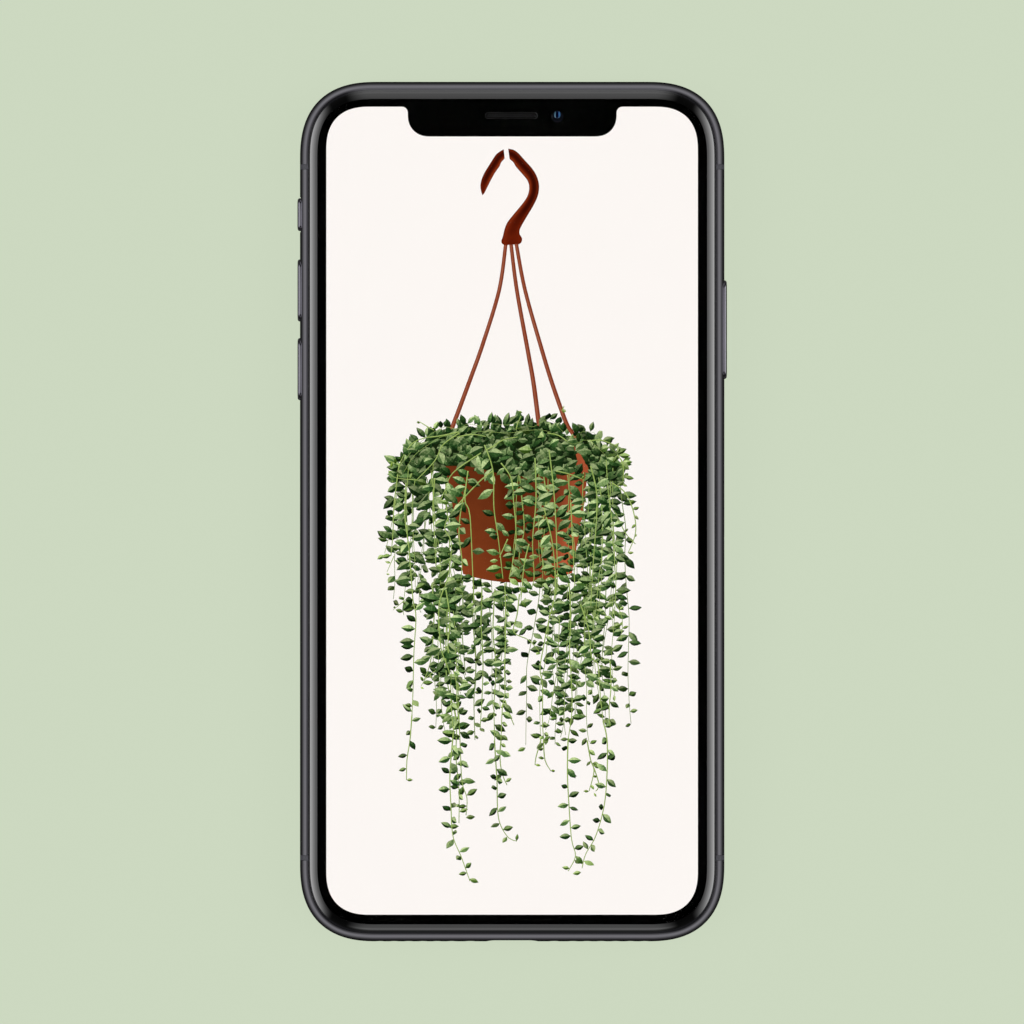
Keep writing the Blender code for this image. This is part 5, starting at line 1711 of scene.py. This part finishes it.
mouth, back = PORT_Y
sleeve = ((back, 0.0), (mouth + PORT_LIP, 0.0), (mouth, -PORT_LIP), (mouth, PORT_LIP - PORT_WALL),
          (mouth + PORT_LIP, -PORT_WALL), (back, -PORT_WALL))
settle(stack("port_sleeve", port_shape, sleeve, 1, closed=True), "sheet_steel", replaces="port_shell")
plug_front = back - TONGUE_BACK
plug = stack("plug", port_shape, [(y, -PORT_WALL - HAIRLINE) for y in (plug_front, back)], 1)
levels = ((TONGUE_FRONT, -TONGUE_EASE), (TONGUE_FRONT + TONGUE_EASE, 0.0), (plug_front + HAIRLINE, 0.0))
blade = stack("blade", lambda grow: stadium((0, MIDDLE), *TONGUE_HALF, grow, BLADE_STEPS), levels, 1)
settle(joined("port_blade", plug, blade), "black_resin", replaces="port_tongue")
for word, side in (("front", 1), ("back", -1)):
    at = (0, TONGUE_FRONT + CONTACT_START, MIDDLE + side * TONGUE_HALF[1])
    gold_pads(f"port_contacts_{word}", "phone", CONTACT, CONTACT_RISE, CONTACT_PITCH, *CONTACT_COUNTS, at)

# %% Screws
SCREW_TIP_Y, SCREW_SHANK = -0.0684, 0.00045
SCREW_LEVELS = ((-0.07150, 0.00012), (-0.07147, 0.0004), (-0.07138, 0.00062), (-0.07120, SCREW_HEAD_RADIUS),
                (-0.07092, SCREW_HEAD_RADIUS), (-0.07088, SCREW_SHANK), (SCREW_TIP_Y, SCREW_SHANK))
CROSS_HALF, CROSS_CORNER, CROSS_Y = (0.00045, 0.0001), 0.00004, (-0.0720, -0.07122)
for word, side in SIDES.items():
    at = (side * SCREW_X, MIDDLE)
    screw = stack("screw", lambda radius: circle(at, radius, HOLE_STEPS), SCREW_LEVELS, 1)
    slots = [prism("slot", [round_box(at, half, CROSS_CORNER, 3)], *CROSS_Y, axis=1)
             for half in (CROSS_HALF, CROSS_HALF[::-1])]
    screw = boolean(screw, "DIFFERENCE", *slots)
    screw.name = f"housing_screw_{word}"
    settle(screw, "graphite_steel", replaces=f"bottom_screw_{word}")

# %% [markdown]
# ## Cameras and flash on the back
# The rear window is one dark glass with two clear covers and a flash in line, in a polished
# rim. Under each cover a stepped funnel leads to the coated lens, which is what gives a
# phone's camera its look.

# %% Rear window
LENS_RADIUS, FLASH_RADIUS, REAR_STEPS = 0.0035, 0.0015, 64
WINDOW_THICKNESS, COVER_THICKNESS, TRIM_HEIGHT = 0.0007, 0.0006, 0.0012
TRIM_EASE, COVER_EASE, FLASH_EASE, WINDOW_EASE = 0.0001, 0.00005, 0.00008, 0.00003
REAR_FUNNEL = ((LENS_RADIUS, 0.00061), (0.0031, 0.00061), (0.0031, 0.00068), (0.0027, 0.00068),
               (0.0024, 0.00074), (0.0024, 0.00076), (0.0020, 0.00080), (0.00175, 0.00082),
               (0.0005, 0.00084), (LENS_RADIUS, 0.00084))
DOME_RADIUS, DOME_HEIGHT, DOME_LOW, DOME_TIP = 0.0017, 0.00016, 0.00080, 0.00001
DOME_STEPS, FLASH_STEPS = 8, 40


def cover(radius, ease, height):
    """The profile of a round cover with an eased outer edge."""
    return ((radius - ease, 0.0), (radius, ease), (radius, height))


trim = ((TRIM_HEIGHT, 0.0), (TRIM_EASE, 0.0), (0.0, -TRIM_EASE), (0.0, TRIM_EASE - TRIM_WALL),
        (TRIM_EASE, -TRIM_WALL), (TRIM_HEIGHT, -TRIM_WALL))
settle(stack("camera_rim", camera_window, trim, closed=True), "graphite_steel", replaces="camera_trim")
lens_ys = {"upper": CAMERA_Y + CAMERA_APART / 2, "lower": CAMERA_Y - CAMERA_APART / 2}
shapes = [camera_window(-TRIM_WALL - HAIRLINE)]
shapes += [circle((CAMERA_X, y), LENS_RADIUS + HAIRLINE, REAR_STEPS) for y in lens_ys.values()]
shapes.append(circle((CAMERA_X, CAMERA_Y), FLASH_RADIUS + HAIRLINE, FLASH_STEPS))
window = prism("camera_window", shapes, 0.0, WINDOW_THICKNESS, ease=WINDOW_EASE)
settle(window, "rear_glass", replaces="camera_glass")
dome = [(DOME_RADIUS, DOME_LOW + DOME_TIP)]
for turn in turns(0, QUARTER, DOME_STEPS):
    dome.append((DOME_RADIUS * math.cos(turn) + DOME_TIP, DOME_LOW - DOME_HEIGHT * math.sin(turn)))
for word, y in lens_ys.items():
    at = (CAMERA_X, y)
    clear = turned(f"camera_cover_{word}", at, cover(LENS_RADIUS, COVER_EASE, COVER_THICKNESS), REAR_STEPS)
    settle(clear, "lens_glass", replaces=f"lens_cover_{word}")
    settle(turned(f"camera_funnel_{word}", at, REAR_FUNNEL, REAR_STEPS), "black_resin")
    settle(turned(f"camera_lens_{word}", at, dome, REAR_STEPS), "lens_glass", finish="lens_coating")
flash = turned("flash_window", (CAMERA_X, CAMERA_Y), cover(FLASH_RADIUS, FLASH_EASE, WINDOW_THICKNESS))
settle(flash, "flash_resin", replaces="flash_lens")

# %% Closing lines
low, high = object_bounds()
{"solid": [list(solid_low), list(solid_high)], "visual": [list(low), list(high)]}
